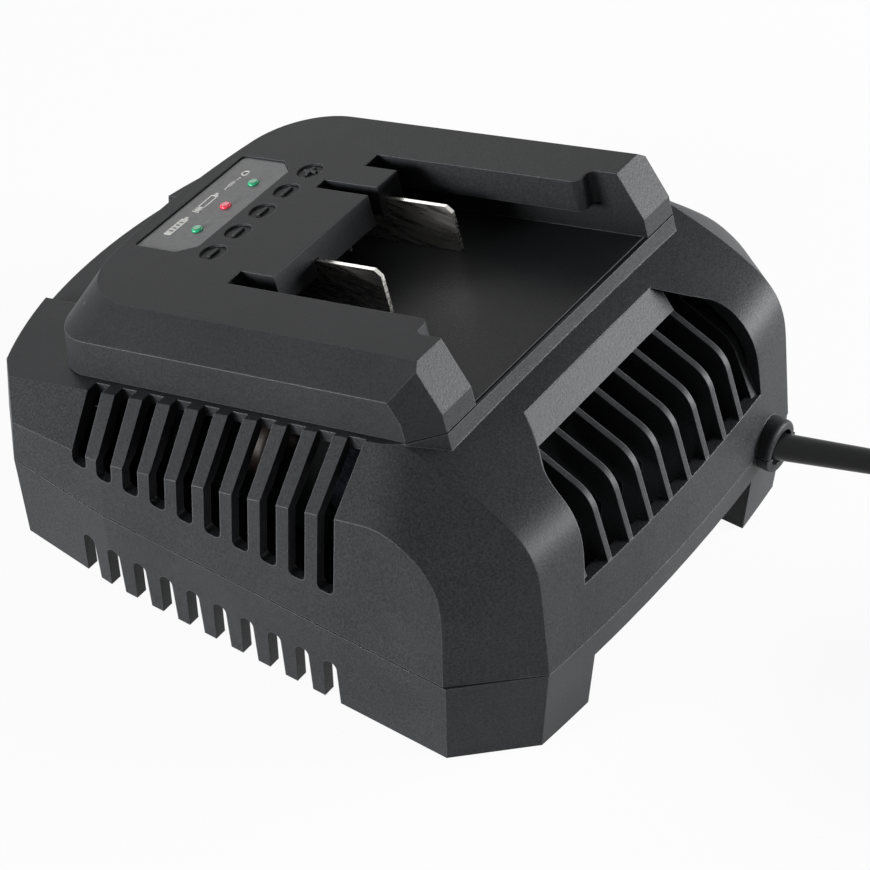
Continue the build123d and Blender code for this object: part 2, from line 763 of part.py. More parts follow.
def draw_dock_front():
    """Draw the dock's side view, open towards the rear, into the active BuildLine."""
    slant = (dock_front_top - dock_front) / (dock_top - dock_kink)
    Polyline((dock_front, -dock_top), (dock_front, dock_kink),
             (dock_front + slant * (2 * dock_top - dock_kink), 2 * dock_top),
             (far, 2 * dock_top), (far, -dock_top), close=True)


def draw_panel(gap):
    """Draw the indicator panel's outline, smaller by a gap, into the active BuildLine."""
    half = panel_half - gap
    front = panel_front + gap
    rear = panel_rear - gap
    Polyline((-half, front + panel_cut[1]), (-half + panel_cut[0], front), (half - panel_cut[0], front),
             (half, front + panel_cut[1]), (half, rear), (-half, rear), close=True)


dock_facet = (dock_half - dock_nose) * (Vector(1, 0, 0) + dock_facet_slope * deck_side.x_dir)
upright = (band_top - reveal) * tan(radians(deck_tilt))     # keeps the dock's rear wall upright
with BuildPart() as dock_body:
    with BuildSketch(deck.offset(reveal)):
        with BuildLine():
            draw_dock_outline(dock_half, dock_rear + upright, dock_rear_corner + upright)
        make_face()
        fillet(vertices().group_by(Axis.Y)[-1], dock_corner_radius)
    with BuildSketch(deck.offset(band_top)):
        with BuildLine():
            draw_dock_outline(dock_half, dock_rear, dock_rear_corner)
        make_face()
        fillet(vertices().group_by(Axis.Y)[-1], dock_corner_radius)
    loft(ruled=True)
    with BuildSketch(deck.offset(band_top)):
        with BuildLine():
            draw_dock_outline(dock_half, dock_rear, dock_rear_corner)
        make_face()
        fillet(vertices().group_by(Axis.Y)[-1], dock_corner_radius)
    with BuildSketch(deck.offset(dock_top)):
        with BuildLine():
            draw_dock_outline(dock_top_half, dock_top_rear, dock_top_rear_corner)
        make_face()
        fillet(vertices().group_by(Axis.Y)[-1], dock_top_corner_radius)
    loft(ruled=True)
    with BuildSketch(deck_side):
        with BuildLine():
            draw_dock_front()
        make_face()
    extrude(amount=far, both=True, mode=Mode.INTERSECT)
    for sx in (-1, 1):
        with BuildSketch(Plane(origin=deck_side.origin + Vector(sx * dock_nose, 0, 0),
                               x_dir=deck_side.x_dir, z_dir=(1, 0, 0))):
            with BuildLine():
                draw_dock_front()
            make_face()
        extrude(amount=far, dir=Vector(sx * dock_facet.X, dock_facet.Y, dock_facet.Z), both=True,
                mode=Mode.INTERSECT)

with BuildPart() as dock_pockets:
    for sx in (-1, 1):
        with BuildSketch(deck_across.offset(-pocket_rear)):
            with BuildLine():
                inner = sx * (channel_half + dock_wall)
                Polyline((inner, -dock_wall), (sx * (dock_half - dock_wall), -dock_wall),
                         (sx * (dock_half - dock_wall), band_top - dock_wall / 2),
                         (sx * (dock_top_half - dock_wall / 2), dock_top - dock_wall),
                         (inner, dock_top - dock_wall), close=True)
            make_face()
        extrude(amount=pocket_rear - pocket_front)
        with BuildSketch(deck.offset(-dock_wall)):
            with Locations((sx * (rear_pocket_in + rear_pocket_out) / 2,
                            (rear_pocket_front + pocket_rear) / 2)):
                Rectangle(rear_pocket_out - rear_pocket_in, pocket_rear - rear_pocket_front)
        extrude(amount=dock_top)
    with BuildSketch(deck.offset(-dock_wall)):
        with Locations(*dock_screw_spots):
            Circle(dock_post)
    extrude(amount=dock_top + dock_wall, mode=Mode.SUBTRACT)

with BuildPart() as battery_dock:
    add(dock_body.part)
    add(dock_pockets.part, mode=Mode.SUBTRACT)
    # floor that seats in the deck
    with BuildSketch(deck.offset(-dock_floor)):
        with Locations((0, (dock_front + ledge_rim + opening_rear) / 2)):
            Rectangle(2 * (opening_half - fit_gap), opening_rear - dock_front - ledge_rim - 2 * fit_gap)
    extrude(amount=dock_floor + reveal + dock_wall / 2)
    # channel under the lips, then the open slot between them
    with BuildSketch(deck.offset(reveal)):
        with Locations((0, (channel_rear - far / 4) / 2)):
            Rectangle(2 * channel_half, channel_rear + far / 4)
    extrude(amount=lip_under - reveal, mode=Mode.SUBTRACT)
    with BuildSketch(deck.offset(lip_under)):
        with BuildLine():
            bend_s = lip_front - lip_bend
            root_s = lip_root + lip_bend
            right = FilletPolyline((channel_half, -far / 4), (channel_half, root_s), (lip_half, bend_s),
                                   (lip_half, notch_rear), radius=lip_bend)
            left = FilletPolyline((-channel_half, -far / 4), (-channel_half, root_s), (-lip_half, bend_s),
                                  (-lip_half, notch_rear), radius=lip_bend)
            Line(right @ 0, left @ 0)
            Line(right @ 1, left @ 1)
        make_face()
        with Locations((0, (tongue_front + notch_rear) / 2)):
            Rectangle(2 * tongue_half, notch_rear - tongue_front, mode=Mode.SUBTRACT)
    extrude(amount=dock_top, mode=Mode.SUBTRACT)
    # key slot and blade slits in the tongue
    with BuildSketch(deck.offset(lip_under)):
        with Locations((key_slot_x, (tongue_front + key_slot_rear) / 2)):
            Rectangle(key_slot_width, key_slot_rear - tongue_front)
    extrude(amount=dock_top, mode=Mode.SUBTRACT)
    with BuildSketch(deck.offset(lip_under)):
        for x in blade_xs:
            with Locations((x, (tongue_front + blade_step) / 2)):
                Rectangle(blade_thickness + 2 * block_clear, blade_step - tongue_front + 2 * block_clear)
    extrude(amount=blade_height + block_clear - lip_under, mode=Mode.SUBTRACT)
    # pocket for the terminal block
    with BuildSketch(deck.offset(lip_under)):
        with Locations((0, block_front + block_depth / 2)):
            Rectangle(2 * (block_half + fit_gap), block_depth + 2 * fit_gap)
    extrude(amount=-deep, mode=Mode.SUBTRACT)
    # terminal marks on top
    with BuildSketch(deck.offset(dock_top)):
        for x in terminal_xs:
            with Locations((x, mark_s)):
                Circle(mark_radius)
    extrude(amount=-mark_depth, mode=Mode.SUBTRACT)
    with BuildSketch(deck.offset(dock_top)):
        for x in terminal_xs:
            with Locations((x, mark_s)):
                Rectangle(mark_bar[0], mark_bar[1])
        with Locations((terminal_xs[positive_slot], mark_s)):
            Rectangle(mark_bar[1], mark_bar[0])
    extrude(amount=-mark_depth, mode=Mode.ADD)
    # seat for the indicator panel, light well, bay for the indicator board
    with BuildSketch(deck.offset(dock_top)):
        with BuildLine():
            draw_panel(0)
        make_face()
        fillet(vertices(), panel_round)
    extrude(amount=-panel_depth - panel_sunk, mode=Mode.SUBTRACT)
    with BuildSketch(deck.offset(dock_top)):
        with Locations((0, led_s)):
            Rectangle(2 * well_half, 2 * well_reach)
    extrude(amount=bay_top - dock_top, mode=Mode.SUBTRACT)
    with BuildSketch(deck.offset(bay_top)):
        with Locations((0, (bay_front + bay_rear) / 2)):
            Rectangle(2 * bay_half, bay_rear - bay_front)
    extrude(amount=-deep, mode=Mode.SUBTRACT)
    # screw holes
    with BuildSketch(deck):
        with Locations(*dock_screw_spots):
            Circle(case_screw_radius + thread_gap)
    extrude(amount=dock_screw_reach, mode=Mode.SUBTRACT)
    with BuildSketch(deck.offset(bay_top)):
        with Locations(*indicator_screw_spots):
            Circle(small_screw_radius + thread_gap)
    extrude(amount=indicator_reach, mode=Mode.SUBTRACT)
    with BuildSketch(deck.offset(lip_under)):
        with Locations(*block_screw_spots):
            Circle(small_screw_radius + thread_gap)
    extrude(amount=small_reach, mode=Mode.SUBTRACT)

finish(battery_dock, "battery_dock")

# ---------------------------------------------------------------- terminals
with BuildPart() as terminal_block:
    with BuildSketch(deck.offset(-dock_floor)):
        with Locations((0, block_front + block_depth / 2)):
            Rectangle(2 * block_half, block_depth)
    extrude(amount=dock_floor + lip_under)
    # grooves in the front face
    with BuildSketch(deck.offset(reveal)):
        for x in terminal_xs:
            with Locations((x, block_front)):
                Rectangle(groove_width, 2 * groove_depth)
    extrude(amount=lip_under, mode=Mode.SUBTRACT)
    # slots that hold the contacts, open downwards
    with BuildSketch(deck.offset(blade_neck + cable_grip)):
        for x in blade_xs:
            with Locations((x, (block_front + tab_rear) / 2)):
                Rectangle(blade_thickness + 2 * cable_grip, tab_rear - block_front + 2 * cable_grip)
        for x in sense_xs:
            with Locations((x, (block_front + tab_rear) / 2)):
                Rectangle(sense_thickness + 2 * cable_grip, tab_rear - block_front + 2 * cable_grip)
    extrude(amount=-deep, mode=Mode.SUBTRACT)
    with BuildSketch(deck.offset(-dock_floor)):
        with Locations(*block_screw_spots):
            Circle(small_screw_radius + fit_gap)
    extrude(amount=dock_floor + lip_under, mode=Mode.SUBTRACT)
    with BuildSketch(deck.offset(-dock_floor)):
        with Locations(*block_screw_spots):
            Circle(small_head_radius + fit_gap)
    extrude(amount=block_head_seat + dock_floor, mode=Mode.SUBTRACT)

finish(terminal_block, "terminal_block")


def draw_blade():
    """Draw the side view of a tall contact blade with its solder tab into the active BuildLine."""
    Polyline((blade_front, blade_foot), (blade_front, blade_height - blade_clip[1]),
             (blade_front + blade_clip[0], blade_height), (blade_step, blade_height),
             (blade_step, blade_neck), (tab_rear, blade_neck), (tab_rear, -dock_floor - tab_drop),
             (tab_front, -dock_floor - tab_drop), (tab_front, blade_foot), close=True)


with BuildPart() as contact_blade_negative:
    with BuildSketch(deck_side.offset(blade_xs[0] - blade_thickness / 2)):
        with BuildLine():
            draw_blade()
        make_face()
    extrude(amount=blade_thickness)

finish(contact_blade_negative, "contact_blade_negative")

with BuildPart() as contact_blade_positive:
    with BuildSketch(deck_side.offset(blade_xs[1] - blade_thickness / 2)):
        with BuildLine():
            draw_blade()
        make_face()
    extrude(amount=blade_thickness)

finish(contact_blade_positive, "contact_blade_positive")

with BuildPart() as sense_contacts:
    for x in sense_xs:
        with BuildSketch(deck_side.offset(x - sense_thickness / 2)):
            with BuildLine():
                Polyline((sense_front, sense_foot), (sense_front, sense_tip - sense_chin),
                         (sense_front + sense_chin, sense_tip), (tab_rear, sense_tip),
                         (tab_rear, -dock_floor - tab_drop), (tab_front, -dock_floor - tab_drop),
                         (tab_front, sense_foot), close=True)
            make_face()
        extrude(amount=sense_thickness)

finish(sense_contacts, "sense_contacts")

# ---------------------------------------------------------------- indicator panel and its lights
panel_under = dock_top - panel_sunk - panel_depth
with BuildPart() as indicator_panel:
    with BuildSketch(deck.offset(panel_under)):
        with BuildLine():
            draw_panel(panel_gap)
        make_face()
        fillet(vertices(), panel_round - panel_gap)
        with Locations(*((x, led_s) for x in led_xs)):
            Circle(led_radius + cable_grip, mode=Mode.SUBTRACT)
    extrude(amount=panel_depth)

finish(indicator_panel, "indicator_panel")


for name, spots in (("lens_green", (led_xs[0], led_xs[2])), ("lens_red", (led_xs[1],))):
    with BuildPart() as lens:
        with BuildSketch(deck.offset(lens_foot)):
            with Locations(*((x, led_s) for x in spots)):
                Circle(led_radius)
        extrude(amount=dock_top + lens_rise - lens_foot)
        lens_rims = lens.edges().filter_by(GeomType.CIRCLE)
        fillet(lens_rims.group_by(Axis(deck.origin, deck.z_dir))[-1], lens_dome)
        with BuildSketch(deck.offset(panel_under)):
            with Locations(*((x, led_s) for x in spots)):
                Circle(led_radius + lens_flange)
        extrude(amount=-lens_flange)
    finish(lens, name)

with BuildPart() as indicator_board:
    with BuildSketch(deck.offset(bay_top)):
        with Locations((0, (bay_front + bay_rear) / 2)):
            Rectangle(2 * (bay_half - fit_gap), bay_rear - bay_front - 2 * fit_gap)
        with Locations(*indicator_screw_spots):
            Circle(small_screw_radius + fit_gap, mode=Mode.SUBTRACT)
    extrude(amount=-indicator_board_thickness)

finish(indicator_board, "indicator_board")

with BuildPart() as indicator_leds:
    with BuildSketch(deck.offset(bay_top)):
        with Locations(*((x, led_s) for x in led_xs)):
            Circle(led_radius)
    extrude(amount=lens_foot - bay_top)

finish(indicator_leds, "indicator_leds")


# ---------------------------------------------------------------- screws
def screws(name, frame, spots, shank, head, head_height, reach):
    """A set of cross-head screws: heads on the frame's back, shanks along its normal."""
    with BuildPart() as screw_set:
        with BuildSketch(frame):
            with Locations(*spots):
                Circle(head)
        extrude(amount=-head_height)
        fillet(screw_set.faces().group_by(Axis(frame.origin, frame.z_dir))[0].edges(), head_height / 4)
        with BuildSketch(frame):
            with Locations(*spots):
                Circle(shank)
        extrude(amount=reach)
        with BuildSketch(frame.offset(-head_height)):
            with Locations(*spots):
                Rectangle(head, shank / 4)
                Rectangle(shank / 4, head)
        extrude(amount=head_height / 2, mode=Mode.SUBTRACT)
    finish(screw_set, name)


screws("case_screws", Plane.XY.offset(case_head_seat), case_screw_spots,
       case_screw_radius, case_head_radius, case_head, case_screw_length)
screws("dock_screws_front", deck.offset(-ledge_depth), dock_screw_spots[0::2],
       case_screw_radius, case_head_radius, case_head, ledge_depth + dock_screw_reach - fit_gap)
screws("dock_screws_rear", deck.offset(-wall - seat_frame), dock_screw_spots[1::2],
       case_screw_radius, case_head_radius, case_head, wall + seat_frame + dock_screw_reach - fit_gap)
screws("block_screws", deck.offset(block_head_seat), block_screw_spots,
       small_screw_radius, small_head_radius, small_head,
       lip_under - block_head_seat + small_reach - fit_gap)
screws("indicator_screws", deck.offset(bay_top - indicator_board_thickness), indicator_screw_spots,
       small_screw_radius, small_head_radius, small_head,
       indicator_board_thickness + indicator_reach - fit_gap)
under_board = Plane(origin=(0, 0, board_top), x_dir=(-1, 0, 0), z_dir=(0, 0, -1))
screws("board_screws", under_board, [(-x, y) for x, y in board_screw_spots],
       small_screw_radius, small_head_radius, small_head, board_thickness + board_screw_reach)
clamp_top = seam_z + clamp_height
screws("clamp_screws", Plane(origin=(0, 0, clamp_top), x_dir=(-1, 0, 0), z_dir=(0, 0, -1)),
       [(-x, y) for x, y in clamp_screw_spots],
       small_screw_radius, small_head_radius, small_head, clamp_height + clamp_screw_reach)

# ---------------------------------------------------------------- main board and its components
with BuildPart() as circuit_board:
    with BuildSketch(Plane.XY.offset(board_bottom)):
        with Locations((0, (board_front + board_rear) / 2)):
            Rectangle(2 * board_half, board_rear - board_front)
        with Locations(*board_screw_spots):
            Circle(small_screw_radius + fit_gap, mode=Mode.SUBTRACT)
    extrude(amount=board_thickness)

finish(circuit_board, "circuit_board")

on_board = Plane.XY.offset(board_top)


def block_on_board(name, spot, size, edge):
    with BuildPart() as block:
        with BuildSketch(on_board):
            with Locations(spot):
                Rectangle(size[0], size[1])
        extrude(amount=size[2])
        fillet(block.edges().filter_by(Axis.Z), edge)
    finish(block, name)


def cans_on_board(name, spots, radius, height):
    """Upright capacitor cans with the crimp groove near the foot and a rounded top."""
    with BuildPart() as cans:
        with BuildSketch(on_board):
            with Locations(*spots):
                Circle(radius)
        extrude(amount=height)
        fillet(cans.faces().group_by(Axis.Z)[-1].edges(), radius / 8)
        with BuildSketch(on_board.offset(radius / 3)):
            with Locations(*spots):
                Circle(radius)
                Circle(radius * can_crimp, mode=Mode.SUBTRACT)
        extrude(amount=radius / 6, mode=Mode.SUBTRACT)
    finish(cans, name)


# transformer: E core standing on edge with the winding round its middle leg
core_x, core_y = core_spot
with BuildPart() as transformer_core:
    with BuildSketch(on_board):
        with Locations(core_spot):
            Rectangle(core_size[0], core_size[1])
    extrude(amount=core_size[2])
    with BuildSketch(on_board.offset(core_yoke)):
        with Locations(core_spot):
            Rectangle(core_size[0] - 2 * core_yoke, core_size[1])
            Rectangle(core_leg, core_size[1], mode=Mode.SUBTRACT)
    extrude(amount=core_size[2] - 2 * core_yoke, mode=Mode.SUBTRACT)

finish(transformer_core, "transformer_core")

with BuildPart() as transformer_winding:
    with BuildSketch(on_board.offset(core_yoke + winding_gap)):
        with Locations(core_spot):
            RectangleRounded(core_size[0] - 2 * core_yoke - 2 * winding_gap,
                             core_size[1] + 2 * winding_out, winding_out)
            Rectangle(core_leg + 2 * winding_gap, core_size[1] + 2 * winding_gap, mode=Mode.SUBTRACT)
    extrude(amount=core_size[2] - 2 * core_yoke - 2 * winding_gap)

finish(transformer_winding, "transformer_winding")
cans_on_board("mains_capacitor", [mains_can_spot], mains_can[0], mains_can[1])
cans_on_board("output_capacitors", output_can_spots, output_can[0], output_can[1])

with BuildPart() as line_choke:
    with BuildSketch(Plane(origin=(choke_spot[0], choke_spot[1] - choke_width / 2, board_top + choke_radius),
                           x_dir=(-1, 0, 0), z_dir=(0, 1, 0))):
        Circle(choke_radius)
        Circle(choke_hole, mode=Mode.SUBTRACT)
    extrude(amount=choke_width)
    fillet(line_choke.edges().filter_by(GeomType.CIRCLE), choke_width / 5)

finish(line_choke, "line_choke")
block_on_board("bridge_rectifier", bridge_spot, bridge_size, component_edge)
block_on_board("x_capacitor", x_cap_spot, x_cap_size, component_edge)
block_on_board("control_chip", chip_spot, chip_size, component_edge / 2)

with BuildPart() as fuse:
    with BuildSketch(Plane(origin=(fuse_spot[0], fuse_spot[1], board_top + fuse_radius),
                           x_dir=(-1, 0, 0), z_dir=(0, 1, 0))):
        Circle(fuse_radius)
    extrude(amount=fuse_length / 2, both=True)
    with BuildSketch(Plane(origin=(fuse_spot[0], fuse_spot[1], board_top + fuse_radius),
                           x_dir=(-1, 0, 0), z_dir=(0, 1, 0))):
        Circle(fuse_radius)
        Circle(fuse_radius * fuse_waist, mode=Mode.SUBTRACT)
    extrude(amount=fuse_length / 4, both=True, mode=Mode.SUBTRACT)

finish(fuse, "fuse")

sink_x, sink_y = sink_spot
with BuildPart() as heat_sink:
    with BuildSketch(on_board):
        with Locations(sink_spot):
            Rectangle(sink_length, sink_plate)
        for i in range(sink_fins):
            fin_x = sink_x + (i - (sink_fins - 1) / 2) * sink_pitch
            with Locations((fin_x, sink_y + (sink_plate + sink_fin) / 2 - sink_plate / 4)):
                Rectangle(sink_plate / 2, sink_fin + sink_plate / 2)
    extrude(amount=sink_height)

finish(heat_sink, "heat_sink")

with BuildPart() as power_transistor:
    with BuildSketch(on_board.offset(transistor_lift)):
        with Locations((sink_x, sink_y - (sink_plate + transistor_size[1]) / 2)):
            Rectangle(transistor_size[0], transistor_size[1])
    extrude(amount=transistor_size[2])
    with BuildSketch(on_board):
        for i in (-1, 0, 1):
            with Locations((sink_x + i * transistor_size[0] / 4,
                            sink_y - (sink_plate + transistor_size[1]) / 2)):
                Rectangle(lead_leg, lead_leg)
    extrude(amount=transistor_lift + lead_leg)

finish(power_transistor, "power_transistor")

# ---------------------------------------------------------------- fan
fan_front_plane = Plane(origin=(0, fan_y - fan_depth / 2, fan_z), x_dir=(1, 0, 0), z_dir=(0, -1, 0))
fan_axis = Axis((0, fan_y, fan_z), (0, 1, 0))
with BuildPart() as fan_frame:
    with BuildSketch(fan_front_plane.offset(-fan_depth)):
        RectangleRounded(fan_size, fan_size, fan_screw_inset / 2)
        Circle(fan_bore, mode=Mode.SUBTRACT)
        with GridLocations(fan_size - 2 * fan_screw_inset, fan_size - 2 * fan_screw_inset, 2, 2):
            Circle(fan_screw_hole, mode=Mode.SUBTRACT)
    extrude(amount=fan_depth)
    with BuildSketch(fan_front_plane.offset(-fan_depth)):
        with PolarLocations(0, 4, start_angle=15):
            with Locations((fan_bore / 2 + fan_shaft, 0)):
                Rectangle(fan_bore + fan_shaft, fan_strut)
        Circle(fan_hub)
    extrude(amount=fan_back)
    with BuildSketch(fan_front_plane.offset(-fan_depth)):
        Circle(fan_tube)
    extrude(amount=fan_depth - fan_cap * 3)
    with BuildSketch(fan_front_plane.offset(-fan_depth)):
        Circle(fan_shaft + fan_running)
    extrude(amount=fan_depth, mode=Mode.SUBTRACT)

finish(fan_frame, "fan_frame")

with BuildPart() as fan_blade:
    with BuildSketch(Plane(origin=(0, fan_y - fan_lead, fan_z + impeller_hub - fan_cap),
                           x_dir=(1, 0, 0), z_dir=(0, 0, 1))):
        with BuildLine():
            Polyline((-blade_sweep, -blade_axial), (blade_sweep, blade_axial - blade_skin),
                     (blade_sweep, blade_axial), (-blade_sweep, -blade_axial + blade_skin), close=True)
        make_face()
    extrude(amount=impeller_radius)

with BuildPart() as fan_impeller:
    for i in range(fan_blades):
        add(fan_blade.part.rotate(fan_axis, i * 360 / fan_blades))
    with BuildSketch(fan_front_plane.offset(-fan_depth)):
        Circle(impeller_radius)
    extrude(amount=fan_depth, mode=Mode.INTERSECT)
    with BuildSketch(fan_front_plane.offset(-fan_cap / 2)):
        Circle(impeller_hub)
    extrude(amount=-impeller_depth)
    with BuildSketch(fan_front_plane.offset(-fan_cap / 2 - impeller_depth)):
        Circle(impeller_hub - fan_cap)
    extrude(amount=impeller_depth - fan_cap, mode=Mode.SUBTRACT)
    with BuildSketch(fan_front_plane.offset(-fan_cap)):
        Circle(fan_shaft)
    extrude(amount=fan_cap - fan_depth)

finish(fan_impeller, "fan_impeller")

# ---------------------------------------------------------------- cable entry
with BuildPart() as cable_clamp:
    with BuildSketch(cable_frame.offset(clamp_at - clamp_length / 2)):
        with Locations((0, clamp_height / 2)):
            Rectangle(2 * clamp_half, clamp_height)
        Circle(cable_radius + cable_grip, mode=Mode.SUBTRACT)
    extrude(amount=clamp_length)
    with BuildSketch(Plane.XY.offset(seam_z)):
        with Locations(*clamp_screw_spots):
            Circle(small_screw_radius + fit_gap)
    extrude(amount=clamp_height, mode=Mode.SUBTRACT)

finish(cable_clamp, "cable_clamp")

with BuildPart() as bend_protector:
    with BuildSketch(cable_frame.offset(boot_flange_front - boot_flange)):
        Circle(boot_flange_radius)
    extrude(amount=boot_flange)
    with BuildSketch(cable_frame.offset(boot_flange_front)):
        Circle(boot_radius)
    extrude(amount=-boot_flange_front)
    with BuildSketch(cable_frame):
        Circle(boot_radius)
    with BuildSketch(cable_frame.offset(boot_length)):
        Circle(boot_tip_radius)
    loft()
    boot_tip = bend_protector.faces().sort_by(Axis(cable_frame.origin, cable_frame.z_dir))[-1]
    fillet(boot_tip.edges(), boot_edge)
    with BuildSketch(cable_frame.offset(boot_flange_front - boot_flange)):
        Circle(cable_radius + cable_grip)
    extrude(amount=boot_length - boot_flange_front + boot_flange, mode=Mode.SUBTRACT)

finish(bend_protector, "bend_protector")

with BuildPart() as cable_entry:
    with BuildSketch(cable_frame.offset(entry_start)):
        Circle(cable_radius)
    extrude(amount=boot_length - entry_start)

finish(cable_entry, "cable_entry")


# ---------------------------------------------------------------- leads inside the case
def lead_path(points, bend):
    """Corner radii that the runs between these points have room for, up to the one asked for."""
    runs = [Vector(b) - Vector(a) for a, b in zip(points, points[1:])]
    return [min(bend, bend_share * min(a.length, b.length) / tan(radians(a.get_angle(b) / 2)))
            for a, b in zip(runs, runs[1:])]


def leads(name, routes, radius):
    with BuildPart() as lead_set:
        for points in routes:
            with BuildLine() as line:
                FilletPolyline(*points, radius=lead_path(points, 4 * radius))
            with BuildSketch(Plane(origin=line.line @ 0, z_dir=line.line % 0)):
                Circle(radius)
            sweep(path=line.line)
    finish(lead_set, name)


lead_routes = []
for side in (-1, 1):
    start = cable_frame.from_local_coords(Vector(side * lead_out, 0, entry_start))
    pad_x = mains_pad[0] + side * mains_pad_pitch / 2
    ahead = cable_frame.from_local_coords(Vector(side * lead_out, 0, entry_start - lead_lead))
    lead_routes.append([tuple(start), tuple(ahead), (pad_x, mains_pad[1] - lead_lead, board_top + lead_arch),
                        (pad_x, mains_pad[1], board_top + lead_arch), (pad_x, mains_pad[1], board_top)])
leads("mains_leads", lead_routes, lead_radius)

output_routes = []
for x in blade_xs:
    tab = deck_point(x, (tab_front + tab_rear) / 2, -dock_floor - tab_drop)
    down = tab - lead_lead / 2 * deck.z_dir
    output_routes.append([tuple(tab), tuple(down), (x, output_pad_y, (board_top + down.Z) / 2),
                          (x, output_pad_y, board_top)])
leads("output_leads", output_routes, lead_radius)


# ---------------------------------------------------------------- mains cable outside the case
def bend_radii(points, name):
    runs = [Vector(b) - Vector(a) for a, b in zip(points, points[1:])]
    radii = [bend_share * min(a.length, b.length) / tan(radians(a.get_angle(b) / 2))
             for a, b in zip(runs, runs[1:])]
    print(name, "runs", [round(r.length, 1) for r in runs], "radii", [round(r, 1) for r in radii])
    return radii


def cord_tube(points, name):
    points = [tuple(p) for p in points]
    with BuildPart() as tube:
        with BuildLine() as line:
            FilletPolyline(*points, radius=bend_radii(points, name))
        with BuildSketch(Plane(origin=line.line @ 0, z_dir=line.line % 0)):
            Circle(cable_radius)
        sweep(path=line.line)
    length = sum(edge.length for edge in line.edges())
    share = tube.part.volume / (pi * cable_radius ** 2 * length)
    print(name, "length", round(length, 2), "volume over that of a straight cord", round(share, 4))
    finish(tube, name)


boot_tip = cable_frame.from_local_coords(Vector(0, 0, boot_length))
boot_ahead = cable_frame.from_local_coords(Vector(0, 0, boot_length + cable_ahead))
cord_tube([boot_tip, boot_ahead] + cable_points, "mains_cable")
cord_tube(tail_points, "cable_tail")

# coil of the spare length, with a strap let into it
with BuildPart() as coil_ring:
    with BuildSketch(Plane(origin=(coil_centre[0], coil_centre[1], 0), x_dir=(1, 0, 0), z_dir=(0, -1, 0))):
        with Locations((coil_mean, coil_section)):
            RectangleRounded(2 * coil_section, 2 * coil_section, cable_radius)
    revolve(axis=Axis((coil_centre[0], coil_centre[1], 0), (0, 0, 1)))

with BuildPart() as coil_core:
    with BuildSketch(Plane(origin=(coil_centre[0], coil_centre[1], 0), x_dir=(1, 0, 0), z_dir=(0, -1, 0))):
        with Locations((coil_mean, coil_section)):
            RectangleRounded(2 * (coil_section - tie_thickness), 2 * (coil_section - tie_thickness),
                             cable_radius - tie_thickness)
    revolve(axis=Axis((coil_centre[0], coil_centre[1], 0), (0, 0, 1)))

tie_frame = Plane(origin=(coil_centre[0], coil_centre[1], 0),
                  x_dir=(-sin(radians(tie_angle)), cos(radians(tie_angle)), 0),
                  z_dir=(cos(radians(tie_angle)), sin(radians(tie_angle)), 0))
with BuildPart() as coil_tie:
    with BuildSketch(tie_frame):
        Rectangle(tie_width, 8 * coil_section)
    extrude(amount=2 * coil_mean)
    add(coil_ring.part, mode=Mode.INTERSECT)
    add(coil_core.part, mode=Mode.SUBTRACT)

finish(coil_tie, "coil_tie")

with BuildPart() as cable_coil:
    add(coil_ring.part)
    add(coil_tie.part, mode=Mode.SUBTRACT)

finish(cable_coil, "cable_coil")

# two-pin mains plug lying on the floor
plug_start = Vector(tail_points[-1])
plug_dir = (Vector(tail_points[-1]) - Vector(tail_points[-2])).normalized()
plug_frame = Plane(origin=(plug_start.X, plug_start.Y, plug_half_height),
                   x_dir=(-plug_dir.Y, plug_dir.X, 0), z_dir=(plug_dir.X, plug_dir.Y, 0))
with BuildPart() as plug_body:
    for at, width, height in plug_sections:
        with BuildSketch(plug_frame.offset(at)):
            RectangleRounded(width, height, plug_round * height)
    loft()
    fillet(plug_body.faces().sort_by(Axis(plug_frame.origin, plug_frame.z_dir))[-1].edges(), plug_edge)

finish(plug_body, "plug_body")

with BuildPart() as plug_pins:
    with BuildSketch(plug_frame.offset(plug_sections[-1][0])):
        with GridLocations(pin_pitch, pin_pitch, 2, 1):
            Circle(pin_radius)
    extrude(amount=pin_length)
    fillet(plug_pins.faces().group_by(Axis(plug_frame.origin, plug_frame.z_dir))[-1].edges(), pin_radius / 2)

finish(plug_pins, "plug_pins")
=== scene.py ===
import math

import bpy
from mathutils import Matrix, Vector


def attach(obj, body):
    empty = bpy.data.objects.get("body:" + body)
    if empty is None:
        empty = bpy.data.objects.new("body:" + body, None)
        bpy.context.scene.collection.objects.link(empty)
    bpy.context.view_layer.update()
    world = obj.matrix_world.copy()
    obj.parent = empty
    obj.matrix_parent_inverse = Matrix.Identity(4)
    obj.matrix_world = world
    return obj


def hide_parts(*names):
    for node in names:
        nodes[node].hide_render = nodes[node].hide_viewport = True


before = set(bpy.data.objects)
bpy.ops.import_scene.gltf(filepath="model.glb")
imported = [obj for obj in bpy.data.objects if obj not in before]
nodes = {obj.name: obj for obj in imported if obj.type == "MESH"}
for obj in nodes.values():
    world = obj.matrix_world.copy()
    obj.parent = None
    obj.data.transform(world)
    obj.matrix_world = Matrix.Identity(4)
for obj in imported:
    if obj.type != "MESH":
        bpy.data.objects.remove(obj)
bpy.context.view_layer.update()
mm = 0.001
white = (1.0, 1.0, 1.0, 1.0)
deck = {"tilt": math.radians(16.0), "height": 0.0559}


def deckPoint(across, along, height):
    # a place on the sloping dock, given in millimetres
    tilt = deck["tilt"]
    return Vector((across * mm,
                   (along * math.cos(tilt) + height * math.sin(tilt)) * mm,
                   deck["height"] + (height * math.cos(tilt) - along * math.sin(tilt)) * mm))


